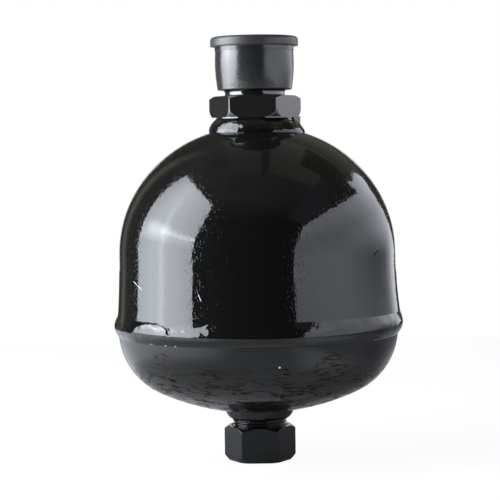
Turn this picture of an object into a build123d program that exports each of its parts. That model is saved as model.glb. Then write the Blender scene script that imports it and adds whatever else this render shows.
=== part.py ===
from build123d import *
import math
import os

# Welded diaphragm accumulator, standing on its gas-side hex cap with the fluid port up.
# All sizes are in millimetres. The axis of the vessel is Z, and Z = 0 is the flat end of the hex cap.
# Sections are drawn as (radius, height) and turned about the axis.

# Vessel shells, deep drawn from plate
SHELL_WALL = 5.0
DOME_RADIUS = 70.9
DOME_FLATTENING = 5.0
FLUID_SKIRT = 35.4
FLARE_RADIUS = 260.0
RIM_STEP = 1.57
CROWN_RADIUS = 122.0
KNUCKLE_RADIUS = 34.7
GAS_SKIRT = 2.8

# Seam weld and the register turned inside both shells beside it
WELD_PROUD = 0.53
WELD_HALF_HEIGHT = 5.75
ROOT_GAP = 2.0
BEVEL_ANGLE = 30.0
REGISTER_CUT = 1.05
REGISTER_BELOW = 6.2
REGISTER_ABOVE = 9.8

# Clamp ring that pinches the diaphragm's bead against the fluid shell
RING_WIDTH = 6.2
RING_BASE = 8.3
LIP_WALL = 2.2
LIP_HEIGHT = 6.2
LIP_ROUND = 1.0
RING_ROUND = 3.5

# Diaphragm and its closing button
RUBBER_WALL = 2.2
RUBBER_GAP = 0.4
BEAD_ROUND = 1.4
FIT = 0.1
BUTTON_RADIUS = 15.0
BUTTON_THICKNESS = 3.1
BUTTON_EDGE = 0.8
STUD_RADIUS = 5.0
RIVET_RADIUS = 9.0
RIVET_THICKNESS = 2.0
BUTTON_CLEARANCE = 0.3

# Fluid port, one turned piece with a hexagon
SPIGOT_RADIUS = 20.0
PORT_HEX_FLATS = 41.0
PORT_HEX_HEIGHT = 10.8
PORT_HEX_TURN = -3.4
PORT_HEX_LIFT = 4.1
PORT_HEX_TOP_RADIUS = 21.1
PORT_HEX_TOP_ANGLE = 30.0
PORT_HEX_FOOT_RADIUS = 22.0
PORT_HEX_FOOT_HEIGHT = 4.8
NECK_RADIUS = 15.35
NECK_LENGTH = 3.3
NECK_FILLET = 0.9
PORT_THREAD_RADIUS = 16.5
PORT_THREAD_LENGTH = 21.8
THREAD_CHAMFER = 1.2
PORT_BORE_RADIUS = 9.316
PORT_BORE_DEPTH = 15.0
PORT_BORE_CHAMFER = 1.3
PASSAGE_RADIUS = 6.0
DRILL_POINT_ANGLE = 118.0
SEAT_CLEARANCE = 0.6

# Weld round the fluid port
PORT_WELD_WIDTH = 4.3
PORT_WELD_HEIGHT = 6.0
PORT_WELD_BULGE = 1.1
PORT_WELD_BEVEL = 3.0

# Protective cap over the port thread
CAP_LENGTH = 27.1
CAP_NECK_GAP = 3.1
CAP_MOUTH_RADIUS = 19.1
CAP_BARREL_RADIUS = 20.2
CAP_BARREL_RISE = 12.9
CAP_SHOULDER_RADIUS = 20.0
CAP_SHOULDER_RISE = 19.9
CAP_COLLAR_RADIUS = 20.27
CAP_WALL = 1.9
CAP_MOUTH_ROUND = 0.7
FLANGE_RADIUS = 22.47
FLANGE_HEIGHT = 4.8
FLANGE_ROUND = 1.9
CAP_DISH_RADIUS = 17.6
CAP_DISH_ROUND = 1.0
CAP_CLEARANCE = 0.3
CAP_CEILING = 2.7

# Gas stub with its charging screw
STUB_RADIUS = 14.0
STUB_EXPOSED = 7.0
STUB_CHAMFER = 1.2
STUB_POCKET_RADIUS = 9.0
STUB_POCKET_DEPTH = 8.0
SCREW_RADIUS = 4.0
SCREW_LENGTH = 11.0
SCREW_HEAD_RADIUS = 6.5
SCREW_HEAD_HEIGHT = 6.4
SCREW_HEAD_CHAMFER = 0.5
SCREW_SOCKET_FLATS = 6.0
SCREW_SOCKET_DEPTH = 3.8
SCREW_POINT = 1.2
GAS_PASSAGE_RADIUS = 1.5
SEAL_SECTION = 1.7
SEAL_SQUEEZE = 0.1

# Weld round the gas stub
GAS_WELD_WIDTH = 3.6
GAS_WELD_HEIGHT = 4.5
GAS_WELD_BULGE = 0.9
GAS_WELD_BEVEL = 3.0

# Hex cap over the gas stub
HEX_CAP_WALL = 2.0
HEX_CAP_HEIGHT = 18.0
HEX_CAP_TURN = -0.8
HEX_CAP_FACE_MARGIN = 0.2
HEX_CAP_TOP_ANGLE = 38.0
HEX_CAP_FLOOR = 3.0
HEX_CAP_CHAMFER = 1.0
CAP_SEAL_THICKNESS = 1.0
CAP_SEAL_BORE = 9.6

# Radii and flats worked out from the sizes above
RIM_RADIUS = DOME_RADIUS + FLARE_RADIUS - math.sqrt(FLARE_RADIUS ** 2 - FLUID_SKIRT ** 2)
GAS_RADIUS = RIM_RADIUS - RIM_STEP
WELD_RADIUS = RIM_RADIUS + WELD_PROUD
REGISTER_RADIUS = GAS_RADIUS - SHELL_WALL + REGISTER_CUT
RING_BORE = REGISTER_RADIUS - RING_WIDTH
HEX_CAP_FLATS = 2 * (STUB_RADIUS + HEX_CAP_WALL)
HEX_CAP_FACE_RADIUS = HEX_CAP_FLATS / 2 + HEX_CAP_FACE_MARGIN

# Heights worked out from the sizes above
DOME_RISE = DOME_RADIUS - DOME_FLATTENING
KNUCKLE_CENTRE_RADIUS = GAS_RADIUS - KNUCKLE_RADIUS
CROWN_TO_KNUCKLE = math.sqrt((CROWN_RADIUS - KNUCKLE_RADIUS) ** 2 - KNUCKLE_CENTRE_RADIUS ** 2)
CROWN_ANGLE = math.degrees(math.atan2(KNUCKLE_CENTRE_RADIUS, CROWN_TO_KNUCKLE))
GAS_POLE = HEX_CAP_HEIGHT + STUB_EXPOSED
CROWN_CENTRE = GAS_POLE + CROWN_RADIUS
KNUCKLE_HEIGHT = CROWN_CENTRE - CROWN_TO_KNUCKLE
SEAM = KNUCKLE_HEIGHT + GAS_SKIRT
EQUATOR = SEAM + FLUID_SKIRT
FLUID_POLE = EQUATOR + DOME_RISE
REGISTER_FLOOR = SEAM - REGISTER_BELOW
REGISTER_TOP = SEAM + REGISTER_ABOVE
PORT_HEX_FOOT = FLUID_POLE + PORT_HEX_LIFT
PORT_HEX_TOP = PORT_HEX_FOOT + PORT_HEX_HEIGHT
THREAD_FOOT = PORT_HEX_TOP + NECK_LENGTH
PORT_TOP = THREAD_FOOT + PORT_THREAD_LENGTH
CAP_MOUTH = PORT_HEX_TOP + CAP_NECK_GAP
CAP_TOP = CAP_MOUTH + CAP_LENGTH
FLANGE_FOOT = CAP_TOP - FLANGE_HEIGHT
CAP_CEILING_FACE = PORT_TOP + CAP_CLEARANCE
STUB_END = HEX_CAP_FLOOR + CAP_SEAL_THICKNESS
POCKET_FLOOR = STUB_END + STUB_POCKET_DEPTH


def area(*edges):
    """Face bounded by a closed chain of edges in the radius-height plane."""
    return make_face(list(edges))


def polygon(*points):
    """Face with straight sides through the given (radius, height) points."""
    return make_face(Polyline(*points, close=True))


def band(inner, outer, low, high):
    """Rectangular face between two radii and two heights."""
    return polygon((inner, low), (outer, low), (outer, high), (inner, high))


def turned(section):
    """Solid of revolution of a (radius, height) section about the axis."""
    return revolve(Plane.XZ * section, Axis.Z)


def hexagon(flats, low, high, turn):
    """Hexagonal prism across the given flats, corners on the X axis before its turn."""
    outline = RegularPolygon(flats / 2, 6, major_radius=False, rotation=turn)
    return extrude(Pos(0, 0, low) * outline, high - low)


def flare_radius(height, inset=0.0):
    """Radius of the fluid shell's skirt, which widens towards the seam along one long arc."""
    drop = EQUATOR - height
    return DOME_RADIUS + FLARE_RADIUS - math.sqrt((FLARE_RADIUS + inset) ** 2 - drop ** 2)


def dome_height(radius, inset=0.0):
    """Height of the fluid shell's elliptical dome at a radius."""
    return EQUATOR + (DOME_RISE - inset) * math.sqrt(1 - (radius / (DOME_RADIUS - inset)) ** 2)


def crown_height(radius, inset=0.0):
    """Height of the gas shell's spherical crown at a radius."""
    return CROWN_CENTRE - math.sqrt((CROWN_RADIUS - inset) ** 2 - radius ** 2)


def gas_side_radius(height):
    """Outer radius of the gas shell's knuckle at a height."""
    return KNUCKLE_CENTRE_RADIUS + math.sqrt(KNUCKLE_RADIUS ** 2 - (KNUCKLE_HEIGHT - height) ** 2)


def dome_area(inset, low):
    """Area under the fluid shell's outline, moved in by inset, above a height."""
    foot = (flare_radius(low, inset), low)
    middle_height = (low + EQUATOR) / 2
    middle = (flare_radius(middle_height, inset), middle_height)
    rim = (DOME_RADIUS - inset, EQUATOR)
    pole = (0, EQUATOR + DOME_RISE - inset)
    skirt = ThreePointArc(foot, middle, rim)
    dome = EllipticalCenterArc((0, EQUATOR), DOME_RADIUS - inset, DOME_RISE - inset, 0, arc_size=90)
    return area(Line((0, low), foot), skirt, dome, Line(pole, (0, low)))


def crown_area(inset, high):
    """Area above the gas shell's outline, moved in by inset, below a height."""
    crown = JernArc((0, GAS_POLE + inset), (1, 0), CROWN_RADIUS - inset, CROWN_ANGLE)
    knuckle = JernArc(crown @ 1, crown % 1, KNUCKLE_RADIUS - inset, 90 - CROWN_ANGLE)
    rim = (GAS_RADIUS - inset, high)
    return area(crown, knuckle, Line(knuckle @ 1, rim), Line(rim, (0, high)), Line((0, high), crown @ 0))


def weld_groove():
    """V groove between the bevelled edges of the two shells."""
    half_root = ROOT_GAP / 2
    half_mouth = half_root + (WELD_RADIUS - REGISTER_RADIUS) * math.tan(math.radians(BEVEL_ANGLE))
    return polygon(
        (REGISTER_RADIUS, SEAM - half_root),
        (WELD_RADIUS, SEAM - half_mouth),
        (WELD_RADIUS, SEAM + half_mouth),
        (REGISTER_RADIUS, SEAM + half_root),
    )


def fluid_shell_section():
    """Deep shell: flared skirt, elliptical dome, register, bevelled rim and bevelled port hole."""
    section = dome_area(0, SEAM) - dome_area(SHELL_WALL, SEAM)
    section -= band(0, REGISTER_RADIUS, SEAM, REGISTER_TOP)
    section -= weld_groove()
    mouth = dome_height(SPIGOT_RADIUS)
    section -= band(0, SPIGOT_RADIUS, mouth - 2 * SHELL_WALL, FLUID_POLE)
    section -= polygon(
        (SPIGOT_RADIUS, mouth - PORT_WELD_BEVEL),
        (SPIGOT_RADIUS + PORT_WELD_BEVEL, mouth),
        (SPIGOT_RADIUS, FLUID_POLE),
    )
    return section


def gas_shell_section():
    """Shallow shell: spherical crown, knuckle, register, bevelled rim and bevelled stub hole."""
    section = crown_area(0, SEAM) - crown_area(SHELL_WALL, SEAM)
    section -= band(0, REGISTER_RADIUS, REGISTER_FLOOR, SEAM)
    section -= weld_groove()
    mouth = crown_height(STUB_RADIUS)
    section -= band(0, STUB_RADIUS, GAS_POLE, mouth + 2 * SHELL_WALL)
    section -= polygon(
        (STUB_RADIUS, mouth + GAS_WELD_BEVEL),
        (STUB_RADIUS + GAS_WELD_BEVEL, mouth),
        (STUB_RADIUS, GAS_POLE),
    )
    return section


def seam_weld_section():
    """Weld metal in the V groove with its crown standing proud of both shells."""
    low = (gas_side_radius(SEAM - WELD_HALF_HEIGHT), SEAM - WELD_HALF_HEIGHT)
    high = (flare_radius(SEAM + WELD_HALF_HEIGHT), SEAM + WELD_HALF_HEIGHT)
    crown = ThreePointArc(low, (WELD_RADIUS, SEAM), high)
    inner_low = (REGISTER_RADIUS, low[1])
    inner_high = (REGISTER_RADIUS, high[1])
    bead = area(crown, Line(high, inner_high), Line(inner_high, inner_low), Line(inner_low, low))
    return bead - fluid_shell_section() - gas_shell_section()


def clamp_ring_section():
    """Ring on the gas shell's register, with a lip inside the diaphragm's bead."""
    base_top = REGISTER_FLOOR + RING_BASE
    lip_top = base_top + LIP_HEIGHT
    lip_outer = RING_BORE + LIP_WALL
    corner = RING_BORE + RING_ROUND
    round_low = JernArc((corner, REGISTER_FLOOR), (-1, 0), RING_ROUND, -90)
    round_in = JernArc((RING_BORE, lip_top - LIP_ROUND), (0, 1), LIP_ROUND, -90)
    round_out = JernArc((lip_outer - LIP_ROUND, lip_top), (1, 0), LIP_ROUND, -90)
    sides = Polyline(
        (lip_outer, lip_top - LIP_ROUND),
        (lip_outer, base_top),
        (REGISTER_RADIUS, base_top),
        (REGISTER_RADIUS, REGISTER_FLOOR),
        (corner, REGISTER_FLOOR),
    )
    bore = Line(round_low @ 1, round_in @ 0)
    return area(round_low, bore, round_in, Line(round_in @ 1, round_out @ 0), round_out, *sides.edges())


def bead_section():
    """Rounded bead round the diaphragm's rim, between the clamp ring and the fluid shell."""
    inner = RING_BORE + LIP_WALL + FIT
    outer = REGISTER_RADIUS - FIT
    low = REGISTER_FLOOR + RING_BASE + FIT
    high = REGISTER_TOP - FIT
    block = Pos((inner + outer) / 2, (low + high) / 2) * Rectangle(outer - inner, high - low)
    return fillet(block.vertices(), BEAD_ROUND)


def plateau_height():
    """Top face of the diaphragm's flat centre, where its rubber meets the button's radius."""
    edge = BUTTON_RADIUS + SEAT_CLEARANCE + BUTTON_CLEARANCE
    return dome_height(edge, SHELL_WALL + RUBBER_GAP)


def diaphragm_section():
    """Moulded rubber cup that lies along the fluid shell, with a flat centre and a rim bead."""
    inset = SHELL_WALL + RUBBER_GAP
    low = REGISTER_TOP - BEAD_ROUND - FIT
    plateau = plateau_height()
    cup = dome_area(inset, low) - band(0, DOME_RADIUS, plateau, FLUID_POLE)
    hollow = dome_area(inset + RUBBER_WALL, low)
    hollow -= band(0, DOME_RADIUS, plateau - RUBBER_WALL, FLUID_POLE)
    section = cup - hollow + bead_section()
    return section - band(0, STUD_RADIUS + FIT, plateau - RUBBER_WALL, plateau)


def closing_button_section():
    """Steel button: a disc on the fluid side, a stud through the rubber and a rivet head."""
    plateau = plateau_height()
    foot = plateau + FIT
    top = foot + BUTTON_THICKNESS
    rivet_top = plateau - RUBBER_WALL - FIT
    return polygon(
        (0, rivet_top - RIVET_THICKNESS),
        (RIVET_RADIUS - BUTTON_EDGE, rivet_top - RIVET_THICKNESS),
        (RIVET_RADIUS, rivet_top - RIVET_THICKNESS + BUTTON_EDGE),
        (RIVET_RADIUS, rivet_top),
        (STUD_RADIUS, rivet_top),
        (STUD_RADIUS, foot),
        (BUTTON_RADIUS, foot),
        (BUTTON_RADIUS, top - BUTTON_EDGE),
        (BUTTON_RADIUS - BUTTON_EDGE, top),
        (0, top),
    )


def seat_height():
    """Face of the port that the closing button shuts against."""
    return plateau_height() + FIT + BUTTON_THICKNESS + BUTTON_CLEARANCE


def port_body_section():
    """Spigot, neck and thread blank of the fluid port, without its hexagon and its bores."""
    inner_end = plateau_height() + BUTTON_CLEARANCE + FIT
    thread_step = PORT_THREAD_RADIUS - NECK_RADIUS
    return polygon(
        (0, inner_end),
        (SPIGOT_RADIUS, inner_end),
        (SPIGOT_RADIUS, PORT_HEX_TOP),
        (NECK_RADIUS + NECK_FILLET, PORT_HEX_TOP),
        (NECK_RADIUS, PORT_HEX_TOP + NECK_FILLET),
        (NECK_RADIUS, THREAD_FOOT - thread_step),
        (PORT_THREAD_RADIUS, THREAD_FOOT),
        (PORT_THREAD_RADIUS, PORT_TOP - THREAD_CHAMFER),
        (PORT_THREAD_RADIUS - THREAD_CHAMFER, PORT_TOP),
        (0, PORT_TOP),
    )


def port_bore_section():
    """Threaded socket, drill point, passage and button seat, all open along the axis."""
    socket_end = PORT_TOP - PORT_BORE_DEPTH
    cone = (PORT_BORE_RADIUS - PASSAGE_RADIUS) / math.tan(math.radians(DRILL_POINT_ANGLE / 2))
    seat_radius = BUTTON_RADIUS + SEAT_CLEARANCE
    return polygon(
        (0, FLUID_POLE - 3 * SHELL_WALL),
        (seat_radius, FLUID_POLE - 3 * SHELL_WALL),
        (seat_radius, seat_height()),
        (PASSAGE_RADIUS, seat_height()),
        (PASSAGE_RADIUS, socket_end - cone),
        (PORT_BORE_RADIUS, socket_end),
        (PORT_BORE_RADIUS, PORT_TOP - PORT_BORE_CHAMFER),
        (PORT_BORE_RADIUS + PORT_BORE_CHAMFER, PORT_TOP),
        (0, PORT_TOP),
    )


def port_hex_envelope():
    """Turned outline that trims the port's hexagon: a chamfer on top and a long round below."""
    corner = PORT_HEX_FLATS / 2 / math.cos(math.radians(30))
    chamfer = (corner - PORT_HEX_TOP_RADIUS) * math.tan(math.radians(PORT_HEX_TOP_ANGLE))
    foot = (PORT_HEX_FOOT_RADIUS, PORT_HEX_FOOT)
    shoulder = (corner, PORT_HEX_FOOT + PORT_HEX_FOOT_HEIGHT)
    side_round = (PORT_HEX_FOOT_HEIGHT ** 2 + (corner - foot[0]) ** 2) / (2 * (corner - foot[0]))
    edge = (corner, PORT_HEX_TOP - chamfer)
    face = (PORT_HEX_TOP_RADIUS, PORT_HEX_TOP)
    return area(
        Line((0, PORT_HEX_FOOT), foot),
        RadiusArc(foot, shoulder, side_round),
        Line(shoulder, edge),
        Line(edge, face),
        Line(face, (0, PORT_HEX_TOP)),
        Line((0, PORT_HEX_TOP), (0, PORT_HEX_FOOT)),
    )


def fluid_port():
    """One turned piece: spigot in the dome, hexagon, undercut neck, outer thread and bores."""
    hexagon_blank = hexagon(PORT_HEX_FLATS, PORT_HEX_FOOT, PORT_HEX_TOP, PORT_HEX_TURN)
    trimmed = hexagon_blank & turned(port_hex_envelope())
    return turned(port_body_section()) + trimmed - turned(port_bore_section())


def port_weld_section():
    """Convex fillet weld between the port's spigot and the dome."""
    toe_radius = SPIGOT_RADIUS + PORT_WELD_WIDTH
    toe = (toe_radius, dome_height(toe_radius))
    root = dome_height(SPIGOT_RADIUS) - PORT_WELD_BEVEL
    top = (SPIGOT_RADIUS, dome_height(SPIGOT_RADIUS) + PORT_WELD_HEIGHT)
    crown = SagittaArc(toe, top, -PORT_WELD_BULGE)
    return area(crown, Line(top, (SPIGOT_RADIUS, root)), Line((SPIGOT_RADIUS, root), toe))


def gas_weld_section():
    """Convex fillet weld between the gas stub and the crown."""
    toe_radius = STUB_RADIUS + GAS_WELD_WIDTH
    toe = (toe_radius, crown_height(toe_radius))
    root = crown_height(STUB_RADIUS) + GAS_WELD_BEVEL
    low = (STUB_RADIUS, crown_height(STUB_RADIUS) - GAS_WELD_HEIGHT)
    crown = SagittaArc(toe, low, GAS_WELD_BULGE)
    return area(crown, Line(low, (STUB_RADIUS, root)), Line((STUB_RADIUS, root), toe))


def cap_outline():
    """Outside of the protective cap: rounded mouth, barrel, collar and rounded flange."""
    mouth = (CAP_MOUTH_RADIUS - CAP_MOUTH_ROUND, CAP_MOUTH)
    side = (CAP_MOUTH_RADIUS, CAP_MOUTH + CAP_MOUTH_ROUND)
    belly = (CAP_BARREL_RADIUS, CAP_MOUTH + CAP_BARREL_RISE)
    shoulder = (CAP_SHOULDER_RADIUS, CAP_MOUTH + CAP_SHOULDER_RISE)
    rim = (FLANGE_RADIUS, CAP_TOP - FLANGE_ROUND)
    crest = (FLANGE_RADIUS - FLANGE_ROUND, CAP_TOP)
    steps = Polyline(
        shoulder,
        (CAP_COLLAR_RADIUS, shoulder[1]),
        (CAP_COLLAR_RADIUS, FLANGE_FOOT),
        (FLANGE_RADIUS, FLANGE_FOOT),
        rim,
    )
    return area(
        Line((0, CAP_MOUTH), mouth),
        RadiusArc(mouth, side, CAP_MOUTH_ROUND),
        ThreePointArc(side, belly, shoulder),
        *steps.edges(),
        RadiusArc(rim, crest, FLANGE_ROUND),
        Line(crest, (0, CAP_TOP)),
        Line((0, CAP_TOP), (0, CAP_MOUTH)),
    )


def cap_hollow():
    """Inside of the protective cap, which follows the barrel at one wall thickness."""
    mouth = (CAP_MOUTH_RADIUS - CAP_WALL, CAP_MOUTH)
    belly = (CAP_BARREL_RADIUS - CAP_WALL, CAP_MOUTH + CAP_BARREL_RISE)
    shoulder = (CAP_SHOULDER_RADIUS - CAP_WALL, CAP_MOUTH + CAP_SHOULDER_RISE)
    roof = (shoulder[0], CAP_CEILING_FACE)
    return area(
        Line((0, CAP_MOUTH), mouth),
        ThreePointArc(mouth, belly, shoulder),
        Line(shoulder, roof),
        Line(roof, (0, CAP_CEILING_FACE)),
        Line((0, CAP_CEILING_FACE), (0, CAP_MOUTH)),
    )


def cap_dish():
    """Shallow dish in the cap's top, inside the flange."""
    floor = CAP_CEILING_FACE + CAP_CEILING
    corner = (CAP_DISH_RADIUS, floor + CAP_DISH_ROUND)
    return area(
        Line((0, floor), (CAP_DISH_RADIUS - CAP_DISH_ROUND, floor)),
        RadiusArc((CAP_DISH_RADIUS - CAP_DISH_ROUND, floor), corner, CAP_DISH_ROUND),
        Line(corner, (CAP_DISH_RADIUS, CAP_TOP)),
        Line((CAP_DISH_RADIUS, CAP_TOP), (0, CAP_TOP)),
        Line((0, CAP_TOP), (0, floor)),
    )


def protective_cap():
    """Moulded push-on cap, closed on top, with a flange to pull it off by."""
    return turned(cap_outline() - cap_hollow() - cap_dish())


def gas_stub_section():
    """Threaded stub through the crown, with a pocket for the charging screw and its seal."""
    top = crown_height(STUB_RADIUS, SHELL_WALL)
    screw_end = POCKET_FLOOR + SCREW_LENGTH
    cone = (SCREW_RADIUS - GAS_PASSAGE_RADIUS) / math.tan(math.radians(DRILL_POINT_ANGLE / 2))
    groove = SCREW_RADIUS + SEAL_SECTION + 2 * SEAL_SQUEEZE
    groove_end = POCKET_FLOOR + SEAL_SECTION
    return polygon(
        (STUB_POCKET_RADIUS, STUB_END),
        (STUB_RADIUS - STUB_CHAMFER, STUB_END),
        (STUB_RADIUS, STUB_END + STUB_CHAMFER),
        (STUB_RADIUS, top),
        (GAS_PASSAGE_RADIUS, top),
        (GAS_PASSAGE_RADIUS, screw_end + cone),
        (SCREW_RADIUS, screw_end),
        (SCREW_RADIUS, groove_end),
        (groove, groove_end),
        (groove, POCKET_FLOOR),
        (STUB_POCKET_RADIUS, POCKET_FLOOR),
    )


def charging_screw():
    """Socket-head screw that shuts the gas passage."""
    head_foot = POCKET_FLOOR - SCREW_HEAD_HEIGHT
    tip = POCKET_FLOOR + SCREW_LENGTH
    body = polygon(
        (0, head_foot),
        (SCREW_HEAD_RADIUS - SCREW_HEAD_CHAMFER, head_foot),
        (SCREW_HEAD_RADIUS, head_foot + SCREW_HEAD_CHAMFER),
        (SCREW_HEAD_RADIUS, POCKET_FLOOR),
        (SCREW_RADIUS, POCKET_FLOOR),
        (SCREW_RADIUS, tip - SCREW_POINT),
        (SCREW_RADIUS - SCREW_POINT, tip),
        (0, tip),
    )
    socket = hexagon(SCREW_SOCKET_FLATS, head_foot, head_foot + SCREW_SOCKET_DEPTH, 0)
    return turned(body) - socket


def screw_seal():
    """Round-section seal ring under the charging screw's head."""
    radius = SEAL_SECTION / 2
    centre = Pos(SCREW_RADIUS + SEAL_SQUEEZE + radius, POCKET_FLOOR + radius)
    return turned(centre * Circle(radius))


def hex_cap_envelope():
    """Turned outline that trims the hex cap: 45 degrees below and a flatter chamfer on top."""
    corner = HEX_CAP_FLATS / 2 / math.cos(math.radians(30))
    chamfer = corner - HEX_CAP_FACE_RADIUS
    return polygon(
        (0, 0),
        (HEX_CAP_FACE_RADIUS, 0),
        (corner, chamfer),
        (corner, HEX_CAP_HEIGHT - chamfer * math.tan(math.radians(HEX_CAP_TOP_ANGLE))),
        (HEX_CAP_FACE_RADIUS, HEX_CAP_HEIGHT),
        (0, HEX_CAP_HEIGHT),
    )


def gas_hex_cap():
    """Hexagonal cap screwed over the gas stub; the whole object stands on it."""
    blank = hexagon(HEX_CAP_FLATS, 0, HEX_CAP_HEIGHT, HEX_CAP_TURN)
    bore = polygon(
        (0, HEX_CAP_FLOOR),
        (STUB_RADIUS, HEX_CAP_FLOOR),
        (STUB_RADIUS, HEX_CAP_HEIGHT - HEX_CAP_CHAMFER),
        (STUB_RADIUS + HEX_CAP_CHAMFER, HEX_CAP_HEIGHT),
        (0, HEX_CAP_HEIGHT),
    )
    return (blank & turned(hex_cap_envelope())) - turned(bore)


def cap_seal_ring():
    """Flat rubber ring between the hex cap's floor and the stub's end."""
    return turned(band(CAP_SEAL_BORE, STUB_RADIUS - STUB_CHAMFER, HEX_CAP_FLOOR, STUB_END))


def pieces():
    """Every separate piece of the accumulator under its own name."""
    return {
        "fluid_shell": turned(fluid_shell_section()),
        "gas_shell": turned(gas_shell_section()),
        "seam_weld": turned(seam_weld_section()),
        "clamp_ring": turned(clamp_ring_section()),
        "diaphragm": turned(diaphragm_section()),
        "closing_button": turned(closing_button_section()),
        "fluid_port": fluid_port(),
        "fluid_port_weld": turned(port_weld_section() - fluid_shell_section()),
        "protective_cap": protective_cap(),
        "gas_stub": turned(gas_stub_section()),
        "gas_stub_weld": turned(gas_weld_section() - gas_shell_section()),
        "charging_screw": charging_screw(),
        "screw_seal": screw_seal(),
        "gas_hex_cap": gas_hex_cap(),
        "cap_seal_ring": cap_seal_ring(),
    }


os.makedirs("parts", exist_ok=True)
for name, shape in pieces().items():
    export_step(shape, f"parts/{name}.step")
    print(f"{name}: {shape.volume / 1000:.2f} cm3, {len(shape.solids())} solid")
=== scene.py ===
"""Finishes the welded diaphragm accumulator: paint, welds, threads, caps and the studio it stands in.

The object's sizes are in millimetres inside its classes and become metres where a mesh or a material is made;
the studio's sizes are in metres. An azimuth is an angle about the vessel's axis in degrees: 0 faces the
camera, and positive azimuths lie to the camera's right.
"""
import logging
import math
from dataclasses import dataclass, field
from enum import Enum
from typing import Any, Callable

import bmesh
import bpy
import numpy as np
from bpy.types import Material, Mesh, Node, NodeSocket, NodeTree, Object
from mathutils import Matrix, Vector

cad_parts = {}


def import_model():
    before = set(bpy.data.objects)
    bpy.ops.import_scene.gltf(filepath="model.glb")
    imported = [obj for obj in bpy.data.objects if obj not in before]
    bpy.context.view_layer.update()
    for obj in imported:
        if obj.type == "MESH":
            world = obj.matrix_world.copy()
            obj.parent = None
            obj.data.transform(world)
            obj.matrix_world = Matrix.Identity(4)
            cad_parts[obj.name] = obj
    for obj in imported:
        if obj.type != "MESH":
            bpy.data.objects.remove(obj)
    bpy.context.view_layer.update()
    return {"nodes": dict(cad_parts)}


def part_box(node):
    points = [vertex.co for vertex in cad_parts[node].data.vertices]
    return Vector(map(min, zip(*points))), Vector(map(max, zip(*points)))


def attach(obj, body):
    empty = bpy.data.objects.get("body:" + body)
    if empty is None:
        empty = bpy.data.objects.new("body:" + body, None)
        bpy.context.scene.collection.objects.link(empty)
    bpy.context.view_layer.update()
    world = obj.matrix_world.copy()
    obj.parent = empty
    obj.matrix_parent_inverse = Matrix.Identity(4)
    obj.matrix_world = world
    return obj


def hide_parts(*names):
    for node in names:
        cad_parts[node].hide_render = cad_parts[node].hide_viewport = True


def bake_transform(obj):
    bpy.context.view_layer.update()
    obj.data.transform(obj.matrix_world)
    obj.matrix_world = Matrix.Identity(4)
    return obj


frame: dict[str, Any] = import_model()

LOG = logging.getLogger("accumulator")
MM = 0.001
FULL_TURN = 2 * math.pi
MERGE_DISTANCE = 1e-7
SHARP_EDGE = math.radians(32)
HALF_SIDE = math.radians(30)
CORNER_CROWDING = 2.2
PLAIN_INPUTS = ("Ripples", "Patches", "Stop_Azimuth", "Stop_Width", "Seed")

FLOAT = "NodeSocketFloat"
VECTOR = "NodeSocketVector"
GEOMETRY = "NodeSocketGeometry"
MATERIAL = "NodeSocketMaterial"

Colour = tuple[float, float, float]
Station = tuple[float, float]
Place = tuple[float, float, float]
Values = np.ndarray
Moved = tuple[Values, Values]
Shape = Callable[[Values, Values, Values], Moved]
Patch = tuple[Station, Station, float]
WHITE: Colour = (1.0, 1.0, 1.0)


class Body(Enum):
    """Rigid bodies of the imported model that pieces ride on."""

    VESSEL = "vessel"
    BUTTON = "button"
    CAP = "cap"


class Slot(Enum):
    """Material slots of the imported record."""

    GLOSS_PAINT = "gloss_paint"
    SATIN_HEX = "satin_hex"
    CAP_PLASTIC = "cap_plastic"
    BARE_STEEL = "bare_steel"
    RUBBER = "rubber"


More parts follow.
